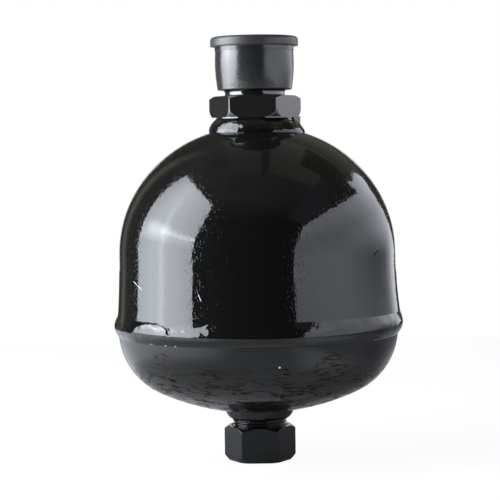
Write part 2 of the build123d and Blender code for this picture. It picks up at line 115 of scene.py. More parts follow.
class Wiring:
    """Adds nodes to one tree and links them in a few words."""

    def __init__(self, tree: NodeTree) -> None:
        """Takes the tree to build in."""
        self.tree = tree

    def feed(self, socket: NodeSocket, value: Any) -> None:
        """Links a socket into another one, or sets it to a plain value.

        Args:
            socket: The input to fill.
            value: An output socket, a number, a vector or a colour.
        """
        if isinstance(value, NodeSocket):
            self.tree.links.new(value, socket)
        else:
            socket.default_value = value

    def node(self, kind: str, inputs: dict[Any, Any] | None = None, **settings: Any) -> Node:
        """Adds one node.

        Args:
            kind: Blender's name of the node type.
            inputs: Values or sockets by input name or number.
            **settings: Properties of the node itself.

        Returns:
            The new node.
        """
        made = self.tree.nodes.new(kind)
        count = len(self.tree.nodes)
        made.location = (190 * (count % 10), -240 * (count // 10))
        for name, value in settings.items():
            setattr(made, name, value)
        for key, value in (inputs or {}).items():
            self.feed(made.inputs[key], value)
        return made

    def calc(self, operation: str, *values: Any) -> NodeSocket:
        """Adds a Math node and returns its result."""
        return self.node("ShaderNodeMath", dict(enumerate(values)), operation=operation).outputs[0]

    def times(self, first: Any, *others: Any) -> Any:
        """Product of two or more values.

        Args:
            first: First value or colour.
            *others: The values it is multiplied by.

        Returns:
            The product.
        """
        for value in others:
            first = self.calc("MULTIPLY", first, value)
        return first

    def plus(self, first: Any, second: Any) -> NodeSocket:
        """Sum of two values."""
        return self.calc("ADD", first, second)

    def less(self, first: Any, second: Any) -> NodeSocket:
        """First value less the second."""
        return self.calc("SUBTRACT", first, second)

    def most(self, first: Any, second: Any) -> NodeSocket:
        """The larger of two values."""
        return self.calc("MAXIMUM", first, second)

    def scaled(self, value: Any, factor: Any, more: Any) -> NodeSocket:
        """Value times a factor, and something added to it."""
        return self.calc("MULTIPLY_ADD", value, factor, more)

    def azimuth(self, parts: Any) -> NodeSocket:
        """Azimuth in radians of a place or a direction, from its parts."""
        return self.calc("ARCTAN2", parts[0], self.times(parts[1], -1.0))

    def vector(self, operation: str, *values: Any) -> NodeSocket:
        """Adds a Vector Math node and returns its vector."""
        return self.node("ShaderNodeVectorMath", dict(enumerate(values)), operation=operation).outputs[0]

    def measure(self, operation: str, *values: Any) -> NodeSocket:
        """Adds a Vector Math node and returns its number, such as a length."""
        return self.node("ShaderNodeVectorMath", dict(enumerate(values)), operation=operation).outputs[1]

    def lengthened(self, vector: Any, factor: Any) -> NodeSocket:
        """Vector times a number."""
        return self.node("ShaderNodeVectorMath", {0: vector, "Scale": factor}, operation="SCALE").outputs[0]

    def split(self, value: Any) -> bpy.types.NodeOutputs:
        """Splits a vector into its X, Y and Z outputs."""
        return self.node("ShaderNodeSeparateXYZ", {0: value}).outputs

    def joined(self, x: Any, y: Any, z: Any) -> NodeSocket:
        """Joins three values into a vector."""
        return self.node("ShaderNodeCombineXYZ", {0: x, 1: y, 2: z}).outputs[0]

    def rise(self, value: Any, low: Any, high: Any) -> NodeSocket:
        """Smooth step from 0 at low to 1 at high; it falls where low is the larger.

        Args:
            value: The value that is compared.
            low: Where the step starts.
            high: Where the step ends.

        Returns:
            The step.
        """
        made = self.node("ShaderNodeMapRange", interpolation_type="SMOOTHSTEP")
        for name, given in (("Value", value), ("From Min", low), ("From Max", high)):
            self.feed(made.inputs[name], given)
        return made.outputs["Result"]

    def noise(self, vector: Any, scale: Any, detail: float = 2.0) -> NodeSocket:
        """Noise texture around 0.5."""
        made = self.node("ShaderNodeTexNoise", {"Vector": vector, "Scale": scale, "Detail": detail})
        return made.outputs[0]

    def arch(self, share: Any) -> NodeSocket:
        """Arch from 0 at a share of -1 over 1 at its middle to 0 at 1, fuller on its right.

        Args:
            share: Place under the arch, from -1 to 1.

        Returns:
            The arch.
        """
        squared = self.times(share, share)
        fuller = self.mix(self.rise(share, -0.1, 0.1), squared, self.times(squared, squared))
        return self.calc("SQRT", self.most(self.less(1.0, fuller), 0.0))

    def mix(self, share: Any, first: Any, second: Any) -> NodeSocket:
        """Mixes two values by a share of the second."""
        return self.node("ShaderNodeMix", {0: share, 2: first, 3: second}, data_type="FLOAT").outputs[0]

    def tint(self, share: Any, first: Any, second: Any) -> NodeSocket:
        """Mixes two colours by a share of the second.

        Args:
            share: Share of the second colour.
            first: First value or colour.
            second: Second value or colour.

        Returns:
            The mixed colour.
        """
        inputs = {0: share}
        for key, value in ((6, first), (7, second)):
            inputs[key] = value if isinstance(value, NodeSocket) else (*value, 1.0)
        return self.node("ShaderNodeMix", inputs, data_type="RGBA").outputs[2]


def node_group(
    name: str,
    kind: str,
    inputs: dict[str, float | str],
    outputs: dict[str, str],
) -> tuple[Wiring, bpy.types.NodeOutputs, bpy.types.NodeInputs]:
    """Starts a node group with named sockets.

    Args:
        name: Name of the group.
        kind: Type of its tree.
        inputs: By input name, the default of a number or the socket type of anything else.
        outputs: Socket type by output name.

    Returns:
        The wiring of the tree, the sockets that come in, and the sockets that go out.
    """
    tree = bpy.data.node_groups.new(name, kind)
    for label, given in inputs.items():
        number = isinstance(given, float)
        socket = tree.interface.new_socket(label, in_out="INPUT", socket_type=FLOAT if number else given)
        if number:
            socket.default_value = given
    for label, socket_type in outputs.items():
        tree.interface.new_socket(label, in_out="OUTPUT", socket_type=socket_type)
    wiring = Wiring(tree)
    return wiring, wiring.node("NodeGroupInput").outputs, wiring.node("NodeGroupOutput").inputs


class SurfaceEffects:
    """Shader node groups that several finishes share."""

    def __init__(self) -> None:
        """Builds every group once."""
        self.peel = self._peel()
        self.nibs = self._nibs()
        self.smears = self._smears()
        self.grime = self._grime()
        self.marks_and_painted_light = self._marks_and_painted_light()
        self.turning = self._turning()

    @staticmethod
    def _peel() -> NodeTree:
        """Orange peel: a fine sprayed texture on a slower wave, as a height in millimetres.

        Returns:
            The finished tree.
        """
        inputs = {"Vector": VECTOR, "Scale": 700.0, "Depth": 0.015, "Wave": 0.04}
        wiring, given, out = node_group("orange_peel", "ShaderNodeTree", inputs, {"Height": FLOAT})
        fine = wiring.less(wiring.noise(given["Vector"], given["Scale"], 1.5), 0.5)
        slow = wiring.less(wiring.noise(given["Vector"], wiring.times(given["Scale"], 0.16), 1.0), 0.5)
        high = wiring.times(fine, given["Depth"])
        wiring.feed(out["Height"], wiring.scaled(slow, given["Wave"], high))
        return wiring.tree

    @staticmethod
    def _nibs() -> NodeTree:
        """Scattered grains caught in the paint: domes of uneven height, from 0 to 1.

        Returns:
            The finished tree.
        """
        inputs = {"Vector": VECTOR, "Cells": 300.0, "Share": 0.1, "Size": 0.2}
        wiring, given, out = node_group("grain_nibs", "ShaderNodeTree", inputs, {"Dome": FLOAT})
        cells = wiring.node("ShaderNodeTexVoronoi", {"Vector": given["Vector"], "Scale": given["Cells"]})
        chance = wiring.split(cells.outputs["Color"])
        picked = wiring.calc("LESS_THAN", chance[0], given["Share"])
        dome = wiring.rise(cells.outputs["Distance"], given["Size"], 0.0)
        tall = wiring.times(chance[1], chance[1], picked)
        wiring.feed(out["Dome"], wiring.times(dome, tall))
        return wiring.tree

    @staticmethod
    def _grime() -> NodeTree:
        """Wiped grease: thin broken veins and small crusts, drawn out around the axis.

        Returns:
            The finished tree.
        """
        inputs = {"Vector": VECTOR, "Scale": 78.0, "Stretch": 4.4, "Zone": 1.0}
        wiring, given, out = node_group("wiped_grime", "ShaderNodeTree", inputs, {"Mask": FLOAT})
        drawn = wiring.vector("MULTIPLY", given["Vector"], wiring.joined(1.0, 1.0, given["Stretch"]))
        waver = wiring.node("ShaderNodeTexNoise", {"Vector": drawn, "Scale": 60.0, "Detail": 2.0})
        path = wiring.vector("ADD", drawn, wiring.lengthened(waver.outputs["Color"], 0.012))
        ridge = wiring.calc("ABSOLUTE", wiring.less(wiring.noise(path, given["Scale"], 5.0), 0.5))
        width = wiring.times(wiring.noise(path, 300.0, 2.0), 0.15)
        vein = wiring.rise(ridge, width, 0.0)
        gaps = wiring.rise(wiring.noise(drawn, wiring.times(given["Scale"], 0.8), 3.0), 0.36, 0.48)
        crust = wiring.rise(wiring.noise(path, wiring.times(given["Scale"], 2.4), 4.0), 0.6, 0.69)
        both = wiring.most(wiring.times(vein, gaps), crust)
        wiring.feed(out["Mask"], wiring.times(both, given["Zone"]))
        return wiring.tree

    @staticmethod
    def _smears() -> NodeTree:
        """Wiped, broken patches, longer around the axis than along it.

        Returns:
            The finished tree.
        """
        inputs = {"Vector": VECTOR, "Scale": 60.0, "Stretch": 4.0, "Cover": 0.5}
        wiring, given, out = node_group("wiped_smears", "ShaderNodeTree", inputs, {"Mask": FLOAT})
        stretched = wiring.vector("MULTIPLY", given["Vector"], wiring.joined(1.0, 1.0, given["Stretch"]))
        broad = wiring.noise(stretched, given["Scale"], 3.0)
        torn = wiring.noise(stretched, wiring.times(given["Scale"], 5.0), 4.0)
        level = wiring.scaled(torn, 0.45, wiring.times(broad, 0.55))
        edge = wiring.less(1.0, given["Cover"])
        wiring.feed(out["Mask"], wiring.rise(level, edge, wiring.plus(edge, 0.07)))
        return wiring.tree

    @staticmethod
    def _marks_and_painted_light() -> NodeTree:
        """One short mark between two points of the surface, used for scratches, chips and spots, and for dots
        and lines of painted highlight and painted shade.

        Returns:
            The finished tree.
        """
        inputs = {"Vector": VECTOR, "Start": VECTOR, "End": VECTOR, "Width": 0.0002}
        wiring, given, out = node_group("short_marks_and_painted_light", "ShaderNodeTree", inputs, {"Mask": FLOAT})
        run = wiring.vector("SUBTRACT", given["End"], given["Start"])
        reach = wiring.vector("SUBTRACT", given["Vector"], given["Start"])
        along = wiring.measure("DOT_PRODUCT", reach, run)
        squared = wiring.measure("DOT_PRODUCT", run, run)
        share = wiring.node("ShaderNodeClamp", {"Value": wiring.calc("DIVIDE", along, squared)}).outputs[0]
        away = wiring.measure("LENGTH", wiring.vector("SUBTRACT", reach, wiring.lengthened(run, share)))
        wiring.feed(out["Mask"], wiring.rise(away, given["Width"], 0.0))
        return wiring.tree

    @staticmethod
    def _turning() -> NodeTree:
        """Fine tool marks that run round the axis, as a value around 0.5.

        Returns:
            The finished tree.
        """
        inputs = {"Vector": VECTOR, "Marks": 4000.0}
        wiring, given, out = node_group("turning_marks", "ShaderNodeTree", inputs, {"Mark": FLOAT})
        parts = wiring.split(given["Vector"])
        radius = wiring.measure("LENGTH", wiring.joined(parts[0], parts[1], 0.0))
        rings = wiring.joined(wiring.plus(radius, parts[2]), wiring.less(radius, parts[2]), 0.0)
        wiring.feed(out["Mark"], wiring.noise(rings, given["Marks"], 1.0))
        return wiring.tree


class FinishWork:
    """One material under construction: its wiring, its surface coordinates and its Principled shader."""

    def __init__(self, name: str, effects: SurfaceEffects) -> None:
        """Starts the material.

        Args:
            name: Name of the material.
            effects: The shared node groups.
        """
        self.material = bpy.data.materials.new(name)
        self.material.use_nodes = True
        self.material.node_tree.nodes.clear()
        self.effects = effects
        self.wiring = Wiring(self.material.node_tree)
        self.place = self.wiring.node("ShaderNodeTexCoord").outputs["Object"]
        self.shader = self.wiring.node("ShaderNodeBsdfPrincipled")
        self.wiring.node("ShaderNodeOutputMaterial", {"Surface": self.shader.outputs[0]})

    def effect(self, group: NodeTree, **values: Any) -> NodeSocket:
        """Places a shared group with its own values and returns its first output.

        Args:
            group: The group to place.
            **values: Values or sockets by input name.

        Returns:
            The group's first output.
        """
        made = self.wiring.node("ShaderNodeGroup", node_tree=group)
        for label, value in {"Vector": self.place, **values}.items():
            self.wiring.feed(made.inputs[label], value)
        return made.outputs[0]

    def set(self, **values: Any) -> None:
        """Fills inputs of the Principled shader; an underscore in a name stands for a blank."""
        for label, value in values.items():
            self.wiring.feed(self.shader.inputs[label.replace("_", " ")], value)

    def bump(self, height: Any, coated: bool = False) -> None:
        """Feeds a height in millimetres through a Bump node to the shader's normal, and to a coat's.

        Args:
            height: Height of the surface in millimetres.
            coated: Whether the finish has a coat.
        """
        made = self.wiring.node("ShaderNodeBump", {"Strength": 1.0, "Distance": MM, "Height": height})
        self.wiring.feed(self.shader.inputs["Normal"], made.outputs[0])
        if coated:
            self.wiring.feed(self.shader.inputs["Coat Normal"], made.outputs[0])


@dataclass(frozen=True)
class Mark:
    """One short mark between two points of the part's frame, in millimetres: scratches, chips and spots, and
    dots and lines of painted highlight and painted shade.
    """

    start: Place
    end: Place
    width: float
    colour: Colour


@dataclass(frozen=True)
class GrimeSpot:
    """Place where wiped grease gathers, in millimetres."""

    centre: Place
    reach: float


@dataclass(frozen=True)
class PaintedUndercutShade:
    """Painted shade: a near-black band painted over the arched end of a weld run, where the undercut lies in
    shade, in degrees of azimuth and millimetres of height.
    """

    middle: float = -47.0
    half_width: float = 11.0
    foot: float = 70.2
    arch: float = 5.3
    brim: float = 76.1
    bend: float = 0.3
    droop: float = 3.6
    left_end: float = -62.0
    right_margin: float = 0.2
    # Near-black colour of the painted shade.
    colour: Colour = (0.003, 0.003, 0.003)

    def mask(self, work: FinishWork) -> NodeSocket:
        """Mask of the painted shade, between the arch of the run's end and the level brim above it.

        Args:
            work: The material under construction.

        Returns:
            The mask.
        """
        wiring = work.wiring
        parts = wiring.split(work.place)
        azimuth = wiring.calc("DEGREES", wiring.azimuth(parts))
        height = wiring.calc("DIVIDE", parts[2], MM)
        ragged = wiring.scaled(wiring.noise(work.place, 480.0, 3.0), 1.6, -0.8)
        share = wiring.calc("DIVIDE", wiring.less(azimuth, self.middle), self.half_width)
        arch = wiring.scaled(wiring.arch(share), self.arch, self.foot)
        over = wiring.less(wiring.scaled(ragged, 0.5, height), arch)
        past = wiring.most(wiring.less(share, self.bend), 0.0)
        brim = wiring.scaled(past, -self.droop, self.brim)
        below = wiring.less(brim, wiring.scaled(ragged, 0.7, height))
        between = wiring.times(wiring.rise(over, -0.25, 0.1), wiring.rise(below, 0.0, 0.25))
        right_end = self.middle + self.half_width - self.right_margin
        begins = wiring.rise(azimuth, self.left_end, self.left_end + 2.0)
        return wiring.times(between, wiring.times(begins, wiring.rise(azimuth, right_end, right_end - 0.5)))


@dataclass(frozen=True)
class Finish:
    """What every finish has: a name, and a way to wire itself into a material."""

    name: str

    def wire(self, work: FinishWork) -> None:
        """Wires the finish into the material under construction; each kind of finish has its own way."""

    def material(self, effects: SurfaceEffects) -> Material:
        """Builds the material.

        Args:
            effects: The shared node groups.

        Returns:
            The finished material.
        """
        work = FinishWork(self.name, effects)
        self.wire(work)
        return work.material


@dataclass(frozen=True)
class GlossPaint(Finish):
    """Sprayed gloss black paint with orange peel, nibs, settled dust, runs and wiped grease, and with painted
    highlights and painted shade where its marks and its undercut band give them.
    """

    colour: Colour = (0.0044, 0.0044, 0.0043)
    grime_colour: Colour = (0.0135, 0.009, 0.0042)
    dust_colour: Colour = (0.16, 0.16, 0.16)
    peel_scale: float = 620.0
    peel_depth: float = 0.014
    wave: float = 0.05
    run_depth: float = 0.03
    nib_cells: float = 1500.0
    nib_height: float = 0.032
    nib_share: float = 0.85
    gloss: float = 1.52
    grime_all_over: float = 0.0
    grime_top: float = 58.0
    grime_spots: tuple[GrimeSpot, ...] = ()
    # Real scratches, specks and dirt, and also dots and lines of painted highlight and painted shade.
    marks: tuple[Mark, ...] = ()
    # Band of painted shade over the weld run's end.
    undercut_shade: PaintedUndercutShade | None = None

    def wire(self, work: FinishWork) -> None:
        """Lays grease, dust and marks, painted highlights and painted shade among them, over the black, and
        takes the gloss off where they lie.

        Args:
            work: The material under construction.
        """
        wiring = work.wiring
        grime = self._grime_mask(work)
        dust = work.effect(work.effects.nibs, Cells=330.0, Share=0.06, Size=0.16)
        coloured = wiring.tint(grime, self.colour, self.grime_colour)
        colour = wiring.tint(wiring.times(dust, 0.5), coloured, self.dust_colour)
        worn_and_painted_light: Any = dust
        # The marks' and the undercut band's colours include painted highlights and painted shade.
        layers = [(self._mark_mask(work, mark), mark.colour) for mark in self.marks]
        if self.undercut_shade:
            layers.append((self.undercut_shade.mask(work), self.undercut_shade.colour))
        for mask, tint in layers:
            colour = wiring.tint(mask, colour, tint)
            worn_and_painted_light = wiring.most(worn_and_painted_light, mask)
        covered = wiring.most(worn_and_painted_light, wiring.times(grime, 0.85))
        work.set(Base_Color=colour, Roughness=0.5, IOR=1.04)
        work.set(Coat_Weight=wiring.less(1.0, covered), Coat_Roughness=0.022, Coat_IOR=self.gloss)
        work.bump(self._relief(work, grime), coated=True)

    def _relief(self, work: FinishWork, grime: Any) -> Any:
        """Height of the paint's surface in millimetres.

        Args:
            work: The material under construction.
            grime: Mask of the grease.

        Returns:
            The height.
        """
        wiring, effects = work.wiring, work.effects
        peel = work.effect(effects.peel, Scale=self.peel_scale, Depth=self.peel_depth, Wave=self.wave)
        drawn = wiring.vector("MULTIPLY", work.place, (1.0, 1.0, 0.55))
        nibs = work.effect(effects.nibs, Vector=drawn, Cells=self.nib_cells, Share=self.nib_share, Size=0.5)
        tall = wiring.vector("MULTIPLY", work.place, (1.0, 1.0, 0.25))
        runs = wiring.less(wiring.noise(tall, 520.0, 2.0), 0.5)
        textured = wiring.scaled(nibs, self.nib_height, peel)
        painted = wiring.scaled(runs, self.run_depth, textured)
        if not isinstance(grime, NodeSocket):
            return painted
        crumbs = wiring.times(wiring.noise(work.place, 1500.0, 3.0), grime)
        return wiring.scaled(crumbs, 0.16, painted)

    def _grime_mask(self, work: FinishWork) -> Any:
        """Mask of the grease: the spots where it gathers and a thinner cover on the low side.

        Args:
            work: The material under construction.

        Returns:
            The mask, or a plain 0 where there is no grease.
        """
        wiring = work.wiring
        if not self.grime_spots and not self.grime_all_over:
            return 0.0
        low = wiring.rise(wiring.split(work.place)[2], self.grime_top * MM, 0.7 * self.grime_top * MM)
        zone = wiring.times(low, self.grime_all_over)
        for spot in self.grime_spots:
            centre = tuple(value * MM for value in spot.centre)
            away = wiring.measure("DISTANCE", work.place, centre)
            near = wiring.rise(away, 1.2 * spot.reach * MM, 0.5 * spot.reach * MM)
            zone = wiring.most(zone, near)
        return work.effect(work.effects.grime, Zone=zone)

    @staticmethod
    def _mark_mask(work: FinishWork, mark: Mark) -> Any:
        """Mask of one mark."""
        ends = [tuple(value * MM for value in point) for point in (mark.start, mark.end)]
        return work.effect(work.effects.marks_and_painted_light, Start=ends[0], End=ends[1], Width=mark.width * MM)


@dataclass(frozen=True)
class SatinPlastic(Finish):
    """Satin dark surface with a fine skin texture, used for the moulded cap and the coated hex cap."""

    colour: Colour
    roughness: float
    skin_scale: float
    skin_depth: float
    wave: float
    nib_height: float = 0.02
    ior: float = 1.5
    # Above this height the surface is dulled and painted paler: painted light on the up-facing top.
    dull_and_painted_light_from: float = 1000.0

    def wire(self, work: FinishWork) -> None:
        """Clouds the colour and the shine, and above a height dulls the surface and paints it paler, as
        painted light on the up-facing top.

        Args:
            work: The material under construction.
        """
        wiring, effects = work.wiring, work.effects
        cloud = wiring.noise(work.place, 90.0, 3.0)
        paler = tuple(1.35 * value for value in self.colour)
        rubbed = work.effect(effects.smears, Scale=70.0, Stretch=1.0, Cover=0.42)
        height = wiring.split(work.place)[2]
        dull_and_painted_light = wiring.rise(height, (self.dull_and_painted_light_from - 0.3) * MM, (self.dull_and_painted_light_from + 0.3) * MM)
        # Paler colour above the height: painted light on the top.
        worn_and_painted_light = tuple(1.7 * value for value in self.colour)
        work.set(Base_Color=wiring.tint(dull_and_painted_light, wiring.tint(cloud, self.colour, paler), worn_and_painted_light))
        shine = wiring.mix(cloud, 0.8 * self.roughness, 1.25 * self.roughness)
        handled = wiring.mix(wiring.times(rubbed, 0.35), shine, 1.8 * self.roughness)
        work.set(Roughness=wiring.mix(dull_and_painted_light, handled, 0.42), IOR=self.ior)
        skin = work.effect(effects.peel, Scale=self.skin_scale, Depth=self.skin_depth, Wave=self.wave)
        nibs = work.effect(effects.nibs, Cells=500.0, Share=0.12, Size=0.3)
        work.bump(wiring.scaled(nibs, self.nib_height, skin))


@dataclass(frozen=True)
class BareSteel(Finish):
    """Turned steel with an oil film."""

    name: str = "turned_oiled_steel"
    colour: Colour = (0.5, 0.5, 0.51)
    oiled: Colour = (0.33, 0.31, 0.28)

    def wire(self, work: FinishWork) -> None:
        """Runs tool marks round the axis and stains the metal with oil.

        Args:
            work: The material under construction.
        """
        wiring, effects = work.wiring, work.effects
        marks = work.effect(effects.turning, Marks=3200.0)
        stain = work.effect(effects.smears, Scale=120.0, Stretch=1.0, Cover=0.45)
        work.set(Base_Color=wiring.tint(stain, self.colour, self.oiled))
        work.set(Metallic=1.0, Roughness=wiring.mix(marks, 0.2, 0.36))
        work.bump(wiring.times(marks, 0.006))


@dataclass(frozen=True)
class NitrileRubber(Finish):
    """Matt black rubber with a fine moulded grain and a little bloom."""

    name: str = "black_nitrile_rubber"
    colour: Colour = (0.012, 0.012, 0.012)
    bloomed: Colour = (0.03, 0.03, 0.029)

    def wire(self, work: FinishWork) -> None:
        """Spreads the bloom and gives the surface its grain.

        Args:
            work: The material under construction.
        """
        wiring, effects = work.wiring, work.effects
        bloom = work.effect(effects.smears, Scale=80.0, Stretch=1.0, Cover=0.4)
        work.set(Base_Color=wiring.tint(bloom, self.colour, self.bloomed))
        work.set(Roughness=wiring.mix(bloom, 0.55, 0.75))
        work.bump(work.effect(effects.peel, Scale=1500.0, Depth=0.02, Wave=0.02))


class Section:
    """Outline of a turned piece as (radius, height) stations in millimetres."""

    def __init__(self, radius: float, height: float) -> None:
        """Starts the outline at its first station."""
        self.stations: list[Station] = [(radius, height)]

    def line(self, radius: float, height: float, pitch: float = 1000.0) -> "Section":
        """Runs straight on.

        Args:
            radius: Radius of the end.
            height: Height of the end.
            pitch: Longest step between stations.

        Returns:
            The section itself.
        """
        start = self.stations[-1]
        steps = max(1, math.ceil(math.dist(start, (radius, height)) / pitch))
        for step in range(1, steps + 1):
            share = step / steps
            across = start[0] + share * (radius - start[0])
            self.stations.append((across, start[1] + share * (height - start[1])))
        return self

    def curve(self, follow: Callable[[float], Station], start: float, stop: float, steps: int) -> "Section":
        """Follows a rule from one parameter to another.

        Args:
            follow: Gives the station at a parameter.
            start: First parameter.
            stop: Last parameter.
            steps: Number of steps between them.

        Returns:
            The section itself.
        """
        for step in range(steps + 1):
            station = follow(start + (stop - start) * step / steps)
            if math.dist(station, self.stations[-1]) > 1e-6:
                self.stations.append(station)
        return self

    def arc(self, centre: Station, radii: Station, start: float, stop: float, steps: int) -> "Section":
        """Follows a circle or an ellipse.

        Args:
            centre: Centre of the arc.
            radii: Its half width and half height.
            start: First angle in degrees, from the outward radius towards up.
            stop: Last angle in degrees.
            steps: Number of steps.

        Returns:
            The section itself.
        """

        def station(angle: float) -> Station:
            """Station of the ellipse at an angle in degrees."""
            turn = math.radians(angle)
            return centre[0] + radii[0] * math.cos(turn), centre[1] + radii[1] * math.sin(turn)

        return self.curve(station, start, stop, steps)


def even_angles(count: int) -> np.ndarray:
    """Evenly spaced angles about the axis, in radians from +X."""
    return np.linspace(0.0, FULL_TURN, count, endpoint=False)


def corner_angles(turn: float, per_side: int) -> np.ndarray:
    """Angles for a hexagon, crowded together near its corners.

    Args:
        turn: Turn of the hexagon in degrees.
        per_side: Steps on each of the six sides.

    Returns:
        Angles in radians from +X.
    """
    share = np.linspace(-1.0, 1.0, per_side, endpoint=False)
    spread = np.sign(share) * (1 - (1 - np.abs(share)) ** CORNER_CROWDING)
    side = HALF_SIDE * (1 + spread)
    return np.concatenate([side + math.radians(turn + 60 * number) for number in range(6)])


def hexagon_clamp(
    flats: float,
    turn: float,
    roundness: float,
    low: float,
    high: float,
    cut: float = 0.0,
) -> Shape:
    """Shape that holds a turned section inside a hexagon with softly rounded edges.

    Args:
        flats: Width across the flats in millimetres.
        turn: Turn of the hexagon in degrees.
        roundness: Power of the soft minimum; a larger one gives crisper edges.
        low: Lowest height that is clamped.
        high: Highest height that is clamped.
        cut: Height and depth of a plane chamfer along the six lower edges.

    Returns:
        The shape function.
    """

    def clamp(angle: Values, radius: Values, height: Values) -> Moved:
        """Pulls each point inside the six sides.

        Args:
            angle: Angles of the points in radians.
            radius: Their radii.
            height: Their heights.

        Returns:
            The moved radii and heights.
        """
        pull = np.zeros_like(angle)
        reach = flats / 2 - np.clip(low + cut - height, 0.0, cut)
        for number in range(6):
            facing = np.cos(angle - math.radians(turn + 30 + 60 * number)) / reach
            pull = pull + np.maximum(facing, 0.0) ** roundness
        inside = (height >= low - 1e-6) & (height <= high + 1e-6) & (radius > 1.0)
        safe = np.where(radius > 1.0, radius, 1.0)
        clamped = (safe ** -roundness + pull) ** (-1 / roundness)
        return np.where(inside, clamped, radius), height

    return clamp


def fillet_face(toe: Station, end: Station, bulge: float) -> Callable[[float], Station]:
    """Convex face of a fillet weld.

    Args:
        toe: Station of its toe on the vessel.
        end: Station of its end on the turned piece.
        bulge: How far the face stands out from the straight line between them.

    Returns:
        The station at a share of the way from the toe to the end.
    """
    across, along = abs(end[1] - toe[1]), toe[0] - end[0]
    length = math.hypot(across, along)
    upwards = math.copysign(1.0, end[1] - toe[1])

    def station(share: float) -> Station:
        """Station of the face at a share of the way.

        Args:
            share: Share of the way.

        Returns:
            The station.
        """
        swell = bulge * 4 * share * (1 - share)
        radius = toe[0] + share * (end[0] - toe[0]) + swell * across / length
        return radius, toe[1] + share * (end[1] - toe[1]) + upwards * swell * along / length

    return station


def lathe(
    name: str,
    section: Section,
    angles: np.ndarray,
    shapes: tuple[Shape, ...] = (),
    loop: bool = True,
) -> Object:
    """Turns a section about the axis into a closed mesh with smooth faces and sharp edges kept.

    Args:
        name: Name of the object.
        section: Outline in millimetres.
        angles: Angles of the section's copies.
        shapes: Functions that move the points, in order.
        loop: Whether the outline closes on itself; otherwise it starts and ends on the axis.

    Returns:
        The new object, at the origin.
    """
    stations = np.array(section.stations)
    angle, radius = np.meshgrid(angles, stations[:, 0], indexing="ij")
    height = np.broadcast_to(stations[:, 1], radius.shape)
    for shape in shapes:
        radius, height = shape(angle, radius, height)
    points = np.stack([radius * np.cos(angle), radius * np.sin(angle), height], axis=-1) * MM
    columns, rows = radius.shape
    index = np.arange(columns * rows).reshape(columns, rows)
    ahead = np.roll(index, -1, axis=0)
    above, above_ahead = (np.roll(grid, -1, axis=1) for grid in (index, ahead))
    quads = np.stack([index, ahead, above_ahead, above], axis=-1)
    if not loop:
        quads = quads[:, :-1]
    mesh = bpy.data.meshes.new(name)
    mesh.from_pydata(points.reshape(-1, 3).tolist(), [], quads.reshape(-1, 4).tolist())
    tidy_mesh(mesh)
    piece = bpy.data.objects.new(name, mesh)
    bpy.context.scene.collection.objects.link(piece)
    return piece


def tidy_mesh(mesh: Mesh) -> None:
    """Merges poles and seams, drops empty faces, turns faces outwards and keeps sharp edges sharp.

    Args:
        mesh: The mesh to clean up.
    """
    work = bmesh.new()
    work.from_mesh(mesh)
    bmesh.ops.remove_doubles(work, verts=work.verts, dist=MERGE_DISTANCE)
    bmesh.ops.dissolve_degenerate(work, edges=work.edges, dist=MERGE_DISTANCE)
    bmesh.ops.recalc_face_normals(work, faces=work.faces)
    for face in work.faces:
        face.smooth = True
    work.to_mesh(mesh)
    work.free()
    mesh.set_sharp_from_angle(angle=SHARP_EDGE)


